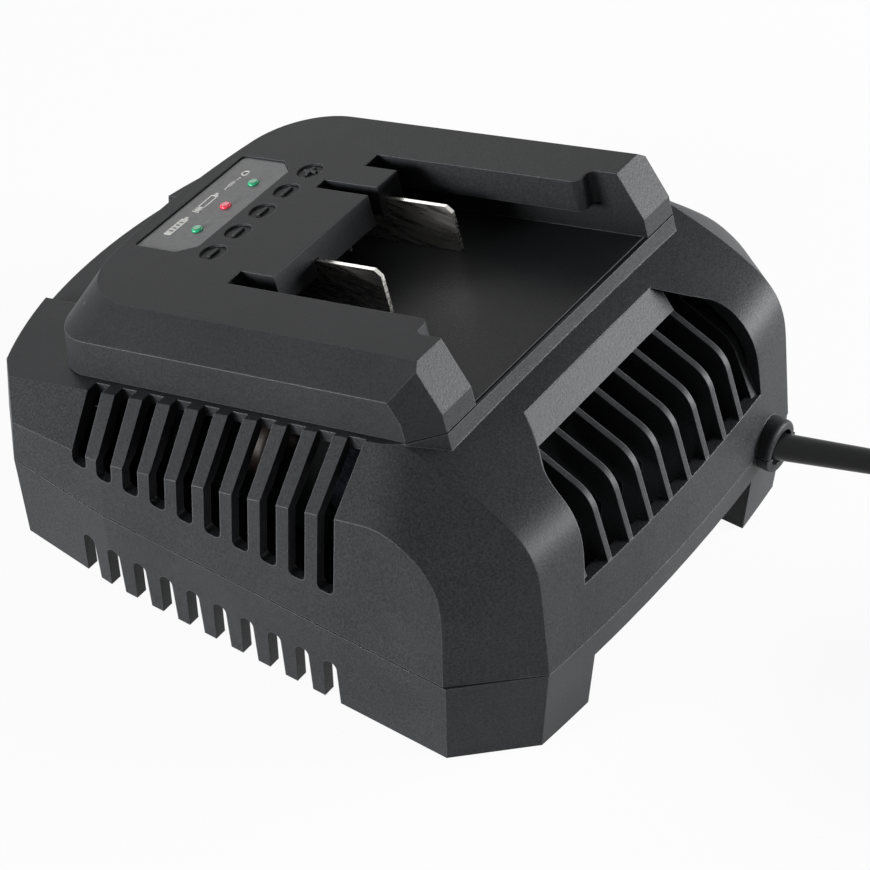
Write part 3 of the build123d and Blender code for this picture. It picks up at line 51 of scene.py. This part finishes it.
# camera, angles in degrees
camera = {"place": (-0.4078, -0.2958, 0.4698), "turn": 55.3, "down": 42.18, "lens": 125.3, "sensor": 36.0,
          "nearest": 0.01}
eye = bpy.data.cameras.new("camera")
eye.lens = camera["lens"]
eye.sensor_width = camera["sensor"]
eye.clip_start = camera["nearest"]
cameraObject = bpy.data.objects.new("camera", eye)
cameraObject.location = camera["place"]
cameraObject.rotation_euler = (math.radians(90.0 - camera["down"]), 0.0, -math.radians(camera["turn"]))
bpy.context.scene.collection.objects.link(cameraObject)
bpy.context.scene.camera = cameraObject
print("camera set")

# mains cable: one spline from the bend protector through the coil to the plug, in millimetres and degrees
cable = {
    "radius": 2.5,
    "roundness": 5,
    "smoothness": 5,
    "route": [(46.444, -101.465, 22.5), (54.185, -122.059, 22.5), (60.5, -141.0, 18.5),
              (65.3, -158.0, 11.0), (65.6, -173.0, 7.5)],
    "tail": [(43.6, -199.9, 3.0), (27.0, -205.5, 3.0), (9.5, -207.0, 4.5), (-6.5, -204.5, 7.0),
             (-21.0, -199.0, 7.0)],
    "coilCentre": (32.0, -168.0),
    # radius and height of each turn, in the order in which it was wound
    "turns": [(34.0, 7.5), (34.0, 12.5), (29.0, 12.5), (24.0, 12.5), (24.0, 7.5),
              (29.0, 7.5), (24.0, 2.5), (29.0, 2.5), (34.0, 2.5)],
    "middleTurn": (29.0, 7.5),
    "crossing": 0.28,        # the last part of a turn, in which it passes to the next one
    "looseEnd": 0.06,        # the first and last part of a turn that lie a little inside
    "pointsPerTurn": 16,
    "startAngle": -8.4,
    "endAngle": -70.0,
    "tieAngle": 150.0,
    "tieReach": 30.0,        # the turns draw together this far either side of the tie
    "pinch": 0.84,           # and by this much
}


def coilPoints():
    # wound clockwise, seen from above
    count = cable["pointsPerTurn"]
    total = len(cable["turns"]) * 360.0 + cable["startAngle"] - cable["endAngle"]
    steps = int(round(total / 360.0 * count))
    swell = 1.0 / math.cos(math.pi / count)
    middleRadius, middleHeight = cable["middleTurn"]
    points = []
    for i in range(1, steps):
        travelled = total * i / steps
        at = travelled / 360.0
        turn = min(int(at), len(cable["turns"]) - 1)
        here = cable["turns"][turn]
        after = cable["turns"][min(turn + 1, len(cable["turns"]) - 1)]
        blend = min(1.0, max(0.0, 1.0 - (turn + 1 - at) / cable["crossing"]))
        blend = blend * blend * (3.0 - 2.0 * blend)
        radius = here[0] + (after[0] - here[0]) * blend
        height = here[1] + (after[1] - here[1]) * blend
        angle = cable["startAngle"] - travelled
        away = abs((angle - cable["tieAngle"] + 180.0) % 360.0 - 180.0)
        squeeze = 1.0 - (1.0 - cable["pinch"]) * max(0.0, 1.0 - away / cable["tieReach"])
        radius = middleRadius + (radius - middleRadius) * squeeze
        height = middleHeight + (height - middleHeight) * squeeze
        radius *= swell if cable["looseEnd"] < at < total / 360.0 - cable["looseEnd"] else 1.0
        points.append((cable["coilCentre"][0] + radius * math.cos(math.radians(angle)),
                       cable["coilCentre"][1] + radius * math.sin(math.radians(angle)), height))
    return points


cablePoints = cable["route"] + coilPoints() + cable["tail"]
cableCurve = bpy.data.curves.new("mainsCable", "CURVE")
cableCurve.dimensions = "3D"
cableCurve.bevel_depth = 1.0     # the radius sits on the points, which keeps the curve's bounds true
cableCurve.bevel_resolution = cable["roundness"]
cableCurve.resolution_u = cable["smoothness"]
cableCurve.use_fill_caps = True
spline = cableCurve.splines.new("NURBS")
spline.points.add(len(cablePoints) - 1)
for point, place in zip(spline.points, cablePoints):
    point.co = (place[0] * mm, place[1] * mm, place[2] * mm, 1.0)
    point.radius = cable["radius"] * mm
spline.order_u = 3
spline.use_endpoint_u = True
mainsCable = bpy.data.objects.new("mainsCable", cableCurve)
bpy.context.scene.collection.objects.link(mainsCable)
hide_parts("mains_cable", "cable_coil", "cable_tail")
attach(mainsCable, "housing")
print("cable laid")


# materials
def hexColour(text):
    # sRGB hex to the linear values that the shader takes
    channels = [int(text[i:i + 2], 16) / 255.0 for i in (1, 3, 5)]
    linear = [c / 12.92 if c <= 0.04045 else ((c + 0.055) / 1.055) ** 2.4 for c in channels]
    return (*linear, 1.0)


def newMaterial(name):
    material = bpy.data.materials.new(name)
    material.use_nodes = True
    tree = material.node_tree
    tree.nodes.clear()
    return material, tree


def addNode(tree, kind, settings=None, links=None):
    # settings: property or input name to value; links: input name to (node, output name)
    node = tree.nodes.new(kind)
    for key, value in (settings or {}).items():
        if isinstance(key, str) and hasattr(node, key):
            setattr(node, key, value)
        else:
            node.inputs[key].default_value = value
    for key, (source, output) in (links or {}).items():
        tree.links.new(source.outputs[output], node.inputs[key])
    return node


def noiseNode(tree, settings, source):
    return addNode(tree, "ShaderNodeTexNoise", settings, {"Vector": source})


def spreadNode(tree, noise, low, high, between=(0.3, 0.7)):
    # stretches the middle of a noise's range to run from low to high
    return addNode(tree, "ShaderNodeMapRange",
                   {"From Min": between[0], "From Max": between[1], "To Min": low, "To Max": high},
                   {"Value": (noise, "Fac")})


def finishMaterial(material, tree, settings, links):
    shader = addNode(tree, "ShaderNodeBsdfPrincipled", settings, links)
    addNode(tree, "ShaderNodeOutputMaterial", None, {"Surface": (shader, "BSDF")})
    return material


def dress(material, *pieces):
    for piece in pieces:
        data = nodes[piece].data if isinstance(piece, str) else piece.data
        data.materials.clear()
        data.materials.append(material)


moulding = {
    "edgeSamples": 4,
    "edgeFrom": 0.985,       # cosine between rounded and flat normal where an edge starts
    "edgeFull": 0.8,         # and where it is fully one
    "fine": {"Detail": 3.0, "Roughness": 0.6},
    "cloudy": {"Scale": 45.0, "Detail": 4.0, "Roughness": 0.55},
    "speck": {"low": 0.0, "high": 0.7, "between": (0.35, 0.65)},
    "patch": {"low": 0.0, "high": 0.3, "between": (0.35, 0.7)},
    "uneven": (-0.05, 0.07),  # spread of the roughness
    "polish": -0.12,         # change of the roughness at an edge
    "depth": 0.12,           # depth of the grain, as a share of its size
    "ior": 1.53,
}


def edgeRound(tree, radius):
    # the small radius that a mould leaves on every edge: a rounded normal, and how much an edge it is
    rounded = addNode(tree, "ShaderNodeBevel", {"samples": moulding["edgeSamples"], "Radius": radius * mm})
    face = addNode(tree, "ShaderNodeNewGeometry")
    along = addNode(tree, "ShaderNodeVectorMath", {"operation": "DOT_PRODUCT"},
                    {0: (rounded, "Normal"), 1: (face, "Normal")})
    edge = addNode(tree, "ShaderNodeMapRange",
                   {"From Min": moulding["edgeFrom"], "From Max": moulding["edgeFull"],
                    "To Min": 0.0, "To Max": 1.0},
                   {"Value": (along, "Value")})
    return rounded, edge


def mouldedPlastic(name, look):
    # grain and radius in millimetres; dry is the paler tone of the drier patches; the third colour is a
    # painted highlight, a paler tone laid along every edge
    material, tree = newMaterial(name)
    coords = addNode(tree, "ShaderNodeTexCoord")
    rounded, edge = edgeRound(tree, look["radius"])
    fine = noiseNode(tree, dict(moulding["fine"], Scale=1.0 / (look["grain"] * mm)), (coords, "Object"))
    cloudy = noiseNode(tree, moulding["cloudy"], (coords, "Object"))
    speck = spreadNode(tree, fine, **moulding["speck"])
    patch = spreadNode(tree, cloudy, **moulding["patch"])
    blend = addNode(tree, "ShaderNodeMath", {"operation": "ADD", "use_clamp": True},
                    {0: (speck, "Result"), 1: (patch, "Result")})
    toned = addNode(tree, "ShaderNodeMix",
                    {"data_type": "RGBA", 6: hexColour(look["base"]), 7: hexColour(look["dry"])},
                    {0: (blend, "Value")})
    # painted highlight: every edge is painted in the paler edge colour, standing in for the light that the
    # rounded edges catch
    colour = addNode(tree, "ShaderNodeMix", {"data_type": "RGBA", 7: hexColour(look["paintedEdgeHighlight"])},
                     {0: (edge, "Result"), 6: (toned, 2)})
    smoother, rougher = moulding["uneven"]
    rough = spreadNode(tree, fine, look["rough"] + smoother, look["rough"] + rougher)
    smoothed = addNode(tree, "ShaderNodeMath", {"operation": "MULTIPLY_ADD", 1: moulding["polish"]},
                       {0: (edge, "Result"), 2: (rough, "Result")})
    bump = addNode(tree, "ShaderNodeBump",
                   {"Strength": look["relief"], "Distance": look["grain"] * moulding["depth"] * mm},
                   {"Height": (fine, "Fac"), "Normal": (rounded, "Normal")})
    return finishMaterial(material, tree, {"IOR": moulding["ior"], "Specular IOR Level": look["gloss"]},
                          {"Base Color": (colour, 2), "Roughness": (smoothed, "Value"),
                           "Normal": (bump, "Normal")})


# ABS, moulded in a spark-eroded tool: charcoal, a fine even grain that breaks the highlights up
# (the real grain is about 0.15 mm; it is drawn at 0.5 mm so that it shows)
caseLook = {"base": "#1a1b1d", "dry": "#303133", "paintedEdgeHighlight": "#5a5b5d", "grain": 0.5, "relief": 1.0,
            "rough": 0.44, "gloss": 0.09, "radius": 0.35}
dress(mouldedPlastic("mouldedAbsCharcoal", caseLook), "upper_case", "lower_case")
dress(mouldedPlastic("mouldedAbsDock", dict(caseLook, base="#1d1e20", dry="#2a2b2d")), "battery_dock")
plastics = {
    # glass-filled nylon, moulded: nearly black and duller
    "glassFilledNylon": {
        "base": "#131315", "dry": "#1b1b1e", "paintedEdgeHighlight": "#2c2c30", "grain": 0.6, "relief": 0.3,
        "rough": 0.58, "gloss": 0.15, "radius": 0.15, "pieces": ["terminal_block", "cable_clamp"]},
    # polycarbonate film, screen printed on its back: smooth and a shade paler than the case
    "printedPolycarbonateFilm": {
        "base": "#47484a", "dry": "#4b4c4e", "paintedEdgeHighlight": "#57585a", "grain": 1.0, "relief": 0.03,
        "rough": 0.4, "gloss": 0.4, "radius": 0.1, "pieces": ["indicator_panel"]},
    # soft PVC of the bend protector, the tie and the plug
    "softPvc": {
        "base": "#101112", "dry": "#161719", "paintedEdgeHighlight": "#2a2b2e", "grain": 0.7, "relief": 0.12,
        "rough": 0.36, "gloss": 0.22, "radius": 0.4, "pieces": ["bend_protector", "coil_tie", "plug_body"]},
    # PVC jacket of the cable and leads: nearly black, smooth and glossy
    "extrudedPvcJacket": {
        "base": "#0e0f10", "dry": "#131416", "paintedEdgeHighlight": "#1a1b1d", "grain": 1.6, "relief": 0.08,
        "rough": 0.2, "gloss": 0.25, "radius": 0.1,
        "pieces": ["cable_entry", "mains_leads", "output_leads", "mains_cable", "cable_coil", "cable_tail",
                   mainsCable]},
    # black PBT of the fan
    "mouldedPbtFan": {
        "base": "#101113", "dry": "#161719", "paintedEdgeHighlight": "#222325", "grain": 0.6, "relief": 0.1,
        "rough": 0.45, "gloss": 0.4, "radius": 0.2, "pieces": ["fan_frame", "fan_impeller"]},
    # polyester tape round the winding: dark, smooth
    "polyesterTape": {
        "base": "#1d1a17", "dry": "#27221d", "paintedEdgeHighlight": "#332c25", "grain": 1.5, "relief": 0.1,
        "rough": 0.35, "gloss": 0.5, "radius": 0.2, "pieces": ["transformer_winding"]},
    # glass-fibre laminate under dark green solder mask
    "solderMaskLaminate": {
        "base": "#0d2417", "dry": "#112c1d", "paintedEdgeHighlight": "#3a4330", "grain": 1.2, "relief": 0.08,
        "rough": 0.35, "gloss": 0.5, "radius": 0.1, "pieces": ["circuit_board", "indicator_board"]},
    # shrink sleeve of the capacitor cans
    "petShrinkSleeve": {
        "base": "#0d0e13", "dry": "#12141b", "paintedEdgeHighlight": "#1f222d", "grain": 1.5, "relief": 0.05,
        "rough": 0.25, "gloss": 0.5, "radius": 0.2, "pieces": ["mains_capacitor", "output_capacitors"]},
    # film capacitor case of dull yellow polyester
    "filmCapacitorCase": {
        "base": "#5e4f22", "dry": "#68592a", "paintedEdgeHighlight": "#7c6d42", "grain": 0.8, "relief": 0.1,
        "rough": 0.4, "gloss": 0.5, "radius": 0.3, "pieces": ["x_capacitor"]},
    # epoxy resin of the chips
    "mouldedEpoxyResin": {
        "base": "#161617", "dry": "#1e1e1f", "paintedEdgeHighlight": "#303032", "grain": 0.5, "relief": 0.2,
        "rough": 0.5, "gloss": 0.4, "radius": 0.15,
        "pieces": ["bridge_rectifier", "control_chip", "power_transistor"]},
}
for plasticName, plasticLook in plastics.items():
    dress(mouldedPlastic(plasticName, plasticLook), *plasticLook["pieces"])

metals = {
    # nickel plate on stamped brass: bright, slightly warm, softened by rolling marks
    "nickelPlatedBrass": {
        "base": "#c9c7c2", "metallic": 1.0, "rough": 0.28, "brush": 0.8, "relief": 0.08,
        "pieces": ["contact_blade_negative", "contact_blade_positive", "sense_contacts", "plug_pins"]},
    # bright zinc on steel screws
    "zincPlatedSteel": {
        "base": "#b9bcc0", "metallic": 1.0, "rough": 0.34, "brush": 0.4, "relief": 0.2,
        "pieces": ["case_screws", "dock_screws_front", "dock_screws_rear", "block_screws",
                   "indicator_screws", "board_screws", "clamp_screws"]},
    # extruded aluminium, plain
    "extrudedAluminium": {
        "base": "#bfc1c4", "metallic": 1.0, "rough": 0.4, "brush": 0.5, "relief": 0.3,
        "pieces": ["heat_sink"]},
    # copper wire under dark enamel, seen as fine parallel turns
    "enamelledCopper": {
        "base": "#1e130d", "metallic": 0.3, "rough": 0.45, "brush": 0.5, "relief": 0.8,
        "pieces": ["line_choke"]},
    # sintered ferrite: dull near-black with a metallic tinge
    "sinteredFerrite": {
        "base": "#2a2b2e", "metallic": 0.4, "rough": 0.6, "brush": 0.3, "relief": 0.2,
        "pieces": ["transformer_core"]},
}
brushing = {"stretch": 0.08, "detail": 2.0, "smoothest": 0.75, "roughest": 1.3, "depth": 0.02}


def platedMetal(name, look):
    # brush in millimetres: the width of the drawing or rolling marks, run along the blade
    material, tree = newMaterial(name)
    coords = addNode(tree, "ShaderNodeTexCoord")
    mapping = addNode(tree, "ShaderNodeMapping", {"Scale": (1.0, brushing["stretch"], 1.0)},
                      {"Vector": (coords, "Object")})
    marks = noiseNode(tree, {"Scale": 1.0 / (look["brush"] * mm), "Detail": brushing["detail"]},
                      (mapping, "Vector"))
    rough = spreadNode(tree, marks, look["rough"] * brushing["smoothest"],
                       look["rough"] * brushing["roughest"])
    bump = addNode(tree, "ShaderNodeBump", {"Strength": look["relief"], "Distance": brushing["depth"] * mm},
                   {"Height": (marks, "Fac")})
    return finishMaterial(material, tree,
                          {"Base Color": hexColour(look["base"]), "Metallic": look["metallic"]},
                          {"Roughness": (rough, "Result"), "Normal": (bump, "Normal")})


for metalName, metalLook in metals.items():
    dress(platedMetal(metalName, metalLook), *metalLook["pieces"])

lenses = {
    "tintedAcrylicGreen": {"base": "#0f8a5c", "glow": "#14c084", "strength": 0.12, "piece": "lens_green"},
    "tintedAcrylicRed": {"base": "#c02c40", "glow": "#ff4058", "strength": 0.22, "piece": "lens_red"},
    "diodeEpoxy": {"base": "#e8e6da", "glow": "#ffffff", "strength": 0.05, "piece": "indicator_leds"},
}
acrylic = {"scale": 250.0, "detail": 2.0, "dimmest": 0.9, "brightest": 1.1, "rough": 0.18, "ior": 1.49}


def clearLens(name, look):
    # tinted acrylic over a lit diode: deep colour, with a slightly uneven glow
    material, tree = newMaterial(name)
    coords = addNode(tree, "ShaderNodeTexCoord")
    uneven = noiseNode(tree, {"Scale": acrylic["scale"], "Detail": acrylic["detail"]}, (coords, "Object"))
    level = spreadNode(tree, uneven, look["strength"] * acrylic["dimmest"],
                       look["strength"] * acrylic["brightest"])
    return finishMaterial(material, tree,
                          {"Base Color": hexColour(look["base"]), "Roughness": acrylic["rough"],
                           "IOR": acrylic["ior"], "Emission Color": hexColour(look["glow"])},
                          {"Emission Strength": (level, "Result")})


for lensName, lensLook in lenses.items():
    dress(clearLens(lensName, lensLook), lensLook["piece"])

# drawn glass tube of the fuse
glass = {"base": "#e6efec", "clear": 0.8, "ior": 1.5, "scale": 300.0, "smoothest": 0.02, "roughest": 0.1}
glassMaterial, glassTree = newMaterial("drawnGlassTube")
glassCoords = addNode(glassTree, "ShaderNodeTexCoord")
glassNoise = noiseNode(glassTree, {"Scale": glass["scale"]}, (glassCoords, "Object"))
glassRough = spreadNode(glassTree, glassNoise, glass["smoothest"], glass["roughest"], (0.0, 1.0))
finishMaterial(glassMaterial, glassTree,
               {"Base Color": hexColour(glass["base"]), "Transmission Weight": glass["clear"],
                "IOR": glass["ior"]},
               {"Roughness": (glassRough, "Result")})
dress(glassMaterial, "fuse")
print("materials set")

# printed marks on the indicator panel: battery, charging battery, temperature, fault; in millimetres
prints = {
    "panelTop": 15.15,
    "lift": 0.06,
    "gaugeLift": 0.096,
    "thickness": 0.09,
    "cornerSteps": 4,
    "fullBattery": {"at": (-10.4, 46.0), "size": (6.6, 2.1), "corner": 0.25, "nub": (0.9, 1.0)},
    "emptyBattery": {"at": (-0.25, 45.75), "size": (7.3, 2.1), "corner": 0.25, "line": 0.42,
                     "nub": (0.9, 1.0)},
    "charge": {"at": (-2.75, 45.75), "size": (2.2, 2.0), "corner": 0.2},
    "stem": {"at": (8.0, 45.2), "size": (3.8, 0.36), "corner": 0.1},
    "stemEnd": {"at": (10.85, 45.0), "size": (1.3, 0.36), "corner": 0.1},
    "bulb": {"at": (8.55, 45.2), "size": (2.2, 1.0), "corner": 0.45},
    "ring": {"at": (13.4, 45.0), "size": (2.2, 2.0), "corner": 0.98, "line": 0.42},
    "gauge": {"at": (-12.2, 46.0), "size": (0.34, 1.1), "corner": 0.1, "step": 1.2, "count": 4},
}
# screen ink: opaque and even, a little thinner where the mesh of the screen was
inks = {
    "screenInkWhite": {"base": "#f1f1ee", "thin": "#dededa"},
    "screenInkGrey": {"base": "#56575a", "thin": "#5e5f62"},
}
screenMesh = {"Scale": 4000.0, "Detail": 2.0}
printInk = {}
for inkName, inkLook in inks.items():
    inkMaterial, inkTree = newMaterial(inkName)
    inkCoords = addNode(inkTree, "ShaderNodeTexCoord")
    inkMesh = noiseNode(inkTree, screenMesh, (inkCoords, "Object"))
    inkColour = addNode(inkTree, "ShaderNodeMix",
                        {"data_type": "RGBA", 6: hexColour(inkLook["base"]), 7: hexColour(inkLook["thin"])},
                        {0: (inkMesh, "Fac")})
    printInk[inkName] = finishMaterial(inkMaterial, inkTree, {"Roughness": 0.5},
                                       {"Base Color": (inkColour, 2)})


def flatShape(place, size, corner, line=0.0):
    # one rounded rectangle lying flat, or its outline where a line width is given
    bpy.ops.object.select_all(action="DESELECT")
    bpy.ops.mesh.primitive_plane_add(size=1.0, location=(place[0] * mm, place[1] * mm, 0.0))
    shape = bpy.context.object
    shape.scale = (size[0] * mm, size[1] * mm, 1.0)
    bpy.ops.object.transform_apply(location=True, rotation=False, scale=True)
    bpy.ops.object.mode_set(mode="EDIT")
    bpy.ops.mesh.select_all(action="SELECT")
    bpy.ops.mesh.bevel(offset=corner * mm, segments=prints["cornerSteps"], affect="VERTICES")
    if line:
        bpy.ops.mesh.select_all(action="SELECT")
        bpy.ops.mesh.inset(thickness=line * mm)
        bpy.ops.mesh.delete(type="FACE")
    bpy.ops.object.mode_set(mode="OBJECT")
    return shape


def plainShape(look):
    return flatShape(look["at"], look["size"], look["corner"], look.get("line", 0.0))


def batteryShapes(look):
    nubPlace = (look["at"][0] + (look["size"][0] + look["nub"][0]) / 2.0, look["at"][1])
    return [plainShape(look), flatShape(nubPlace, look["nub"], look["corner"] / 2.0)]


def printMark(name, shapes, ink="screenInkWhite", lift=prints["lift"]):
    # joins the flat shapes, gives them the ink's thickness and lays them on the sloping panel
    bpy.ops.object.select_all(action="DESELECT")
    for shape in shapes:
        shape.select_set(True)
    mark = shapes[0]
    bpy.context.view_layer.objects.active = mark
    if len(shapes) > 1:
        bpy.ops.object.join()
    mark.name = name
    mark.data.name = name
    mark.rotation_euler = (-deck["tilt"], 0.0, 0.0)
    mark.location = deckPoint(0.0, 0.0, prints["panelTop"] + lift)
    bpy.ops.object.transform_apply(location=True, rotation=True, scale=True)
    thickness = mark.modifiers.new("ink", "SOLIDIFY")
    thickness.thickness = prints["thickness"] * mm
    thickness.offset = -1.0
    bpy.ops.object.modifier_apply(modifier="ink")
    dress(printInk[ink], mark)
    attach(mark, "housing")


printMark("markFullBattery", batteryShapes(prints["fullBattery"]))
printMark("markChargingBattery", batteryShapes(prints["emptyBattery"]) + [plainShape(prints["charge"])])
printMark("markTemperature", [plainShape(prints[part]) for part in ("stem", "stemEnd", "bulb")])
printMark("markFault", [plainShape(prints["ring"])])
gauge = prints["gauge"]
gaugeBars = [flatShape((gauge["at"][0] + i * gauge["step"], gauge["at"][1]), gauge["size"], gauge["corner"])
             for i in range(gauge["count"])]
printMark("markGauge", gaugeBars, "screenInkGrey", prints["gaugeLift"])
print("marks printed")


# floor and light
def seenDirectly(tree):
    # one where the camera, a mirror reflection or glass shows the background
    path = addNode(tree, "ShaderNodeLightPath")
    direct = addNode(tree, "ShaderNodeMath", {"operation": "MAXIMUM"},
                     {0: (path, "Is Camera Ray"), 1: (path, "Is Transmission Ray")})
    return addNode(tree, "ShaderNodeMath", {"operation": "MAXIMUM"},
                   {0: (direct, "Value"), 1: (path, "Is Glossy Ray")})


stage = {
    "floor": "#f2f2f2",
    "size": 6.0,
    "whiteShare": 0.94,      # the rest of the floor's look shows the object's shadow
    "skyOnObject": 0.04,     # the world's light on the object
    "skySeen": 1.0,
}
bpy.ops.object.select_all(action="DESELECT")
bpy.ops.mesh.primitive_plane_add(size=stage["size"], location=(0.0, 0.0, 0.0))
floor = bpy.context.object
floor.name = "floor"
floorMaterial, floorTree = newMaterial("paperSweep")
floorDiffuse = addNode(floorTree, "ShaderNodeBsdfDiffuse", {"Color": hexColour(stage["floor"])})
floorWhite = addNode(floorTree, "ShaderNodeEmission", {"Color": white, "Strength": 1.0})
share = addNode(floorTree, "ShaderNodeMath", {"operation": "MULTIPLY", 1: stage["whiteShare"]},
                {0: (seenDirectly(floorTree), "Value")})
floorMix = addNode(floorTree, "ShaderNodeMixShader", None,
                   {"Fac": (share, "Value"), 1: (floorDiffuse, "BSDF"), 2: (floorWhite, "Emission")})
addNode(floorTree, "ShaderNodeOutputMaterial", None, {"Surface": (floorMix, "Shader")})
floor.data.materials.append(floorMaterial)

world = bpy.data.worlds.new("studio")
world.use_nodes = True
bpy.context.scene.world = world
skyTree = world.node_tree
skyTree.nodes.clear()
skyStrength = addNode(skyTree, "ShaderNodeMapRange",
                      {"To Min": stage["skyOnObject"], "To Max": stage["skySeen"]},
                      {"Value": (seenDirectly(skyTree), "Value")})
sky = addNode(skyTree, "ShaderNodeBackground", {"Color": white}, {"Strength": (skyStrength, "Result")})
addNode(skyTree, "ShaderNodeOutputWorld", None, {"Surface": (sky, "Background")})

lamps = {
    "keySoftbox": {"place": (0.62, -0.8, 0.2), "aim": (0.0, 0.0, 0.04), "size": (0.7, 0.34), "watts": 29.0},
    "sideSoftbox": {"place": (-0.84, 0.46, 0.14), "aim": (0.0, 0.0, 0.04), "size": (0.6, 0.28),
                    "watts": 19.0},
    "backSoftbox": {"place": (0.73, 0.85, 0.44), "aim": (0.0, 0.0, 0.06), "size": (0.6, 0.3), "watts": 1.2},
}
for lampName, lamp in lamps.items():
    light = bpy.data.lights.new(lampName, "AREA")
    light.shape = "RECTANGLE"
    light.size, light.size_y = lamp["size"]
    light.energy = lamp["watts"]
    lampObject = bpy.data.objects.new(lampName, light)
    lampObject.location = lamp["place"]
    aim = Vector(lamp["aim"]) - Vector(lamp["place"])
    lampObject.rotation_euler = aim.to_track_quat("-Z", "Y").to_euler()
    bpy.context.scene.collection.objects.link(lampObject)
bpy.context.scene.view_settings.view_transform = "Standard"
print("stage lit")
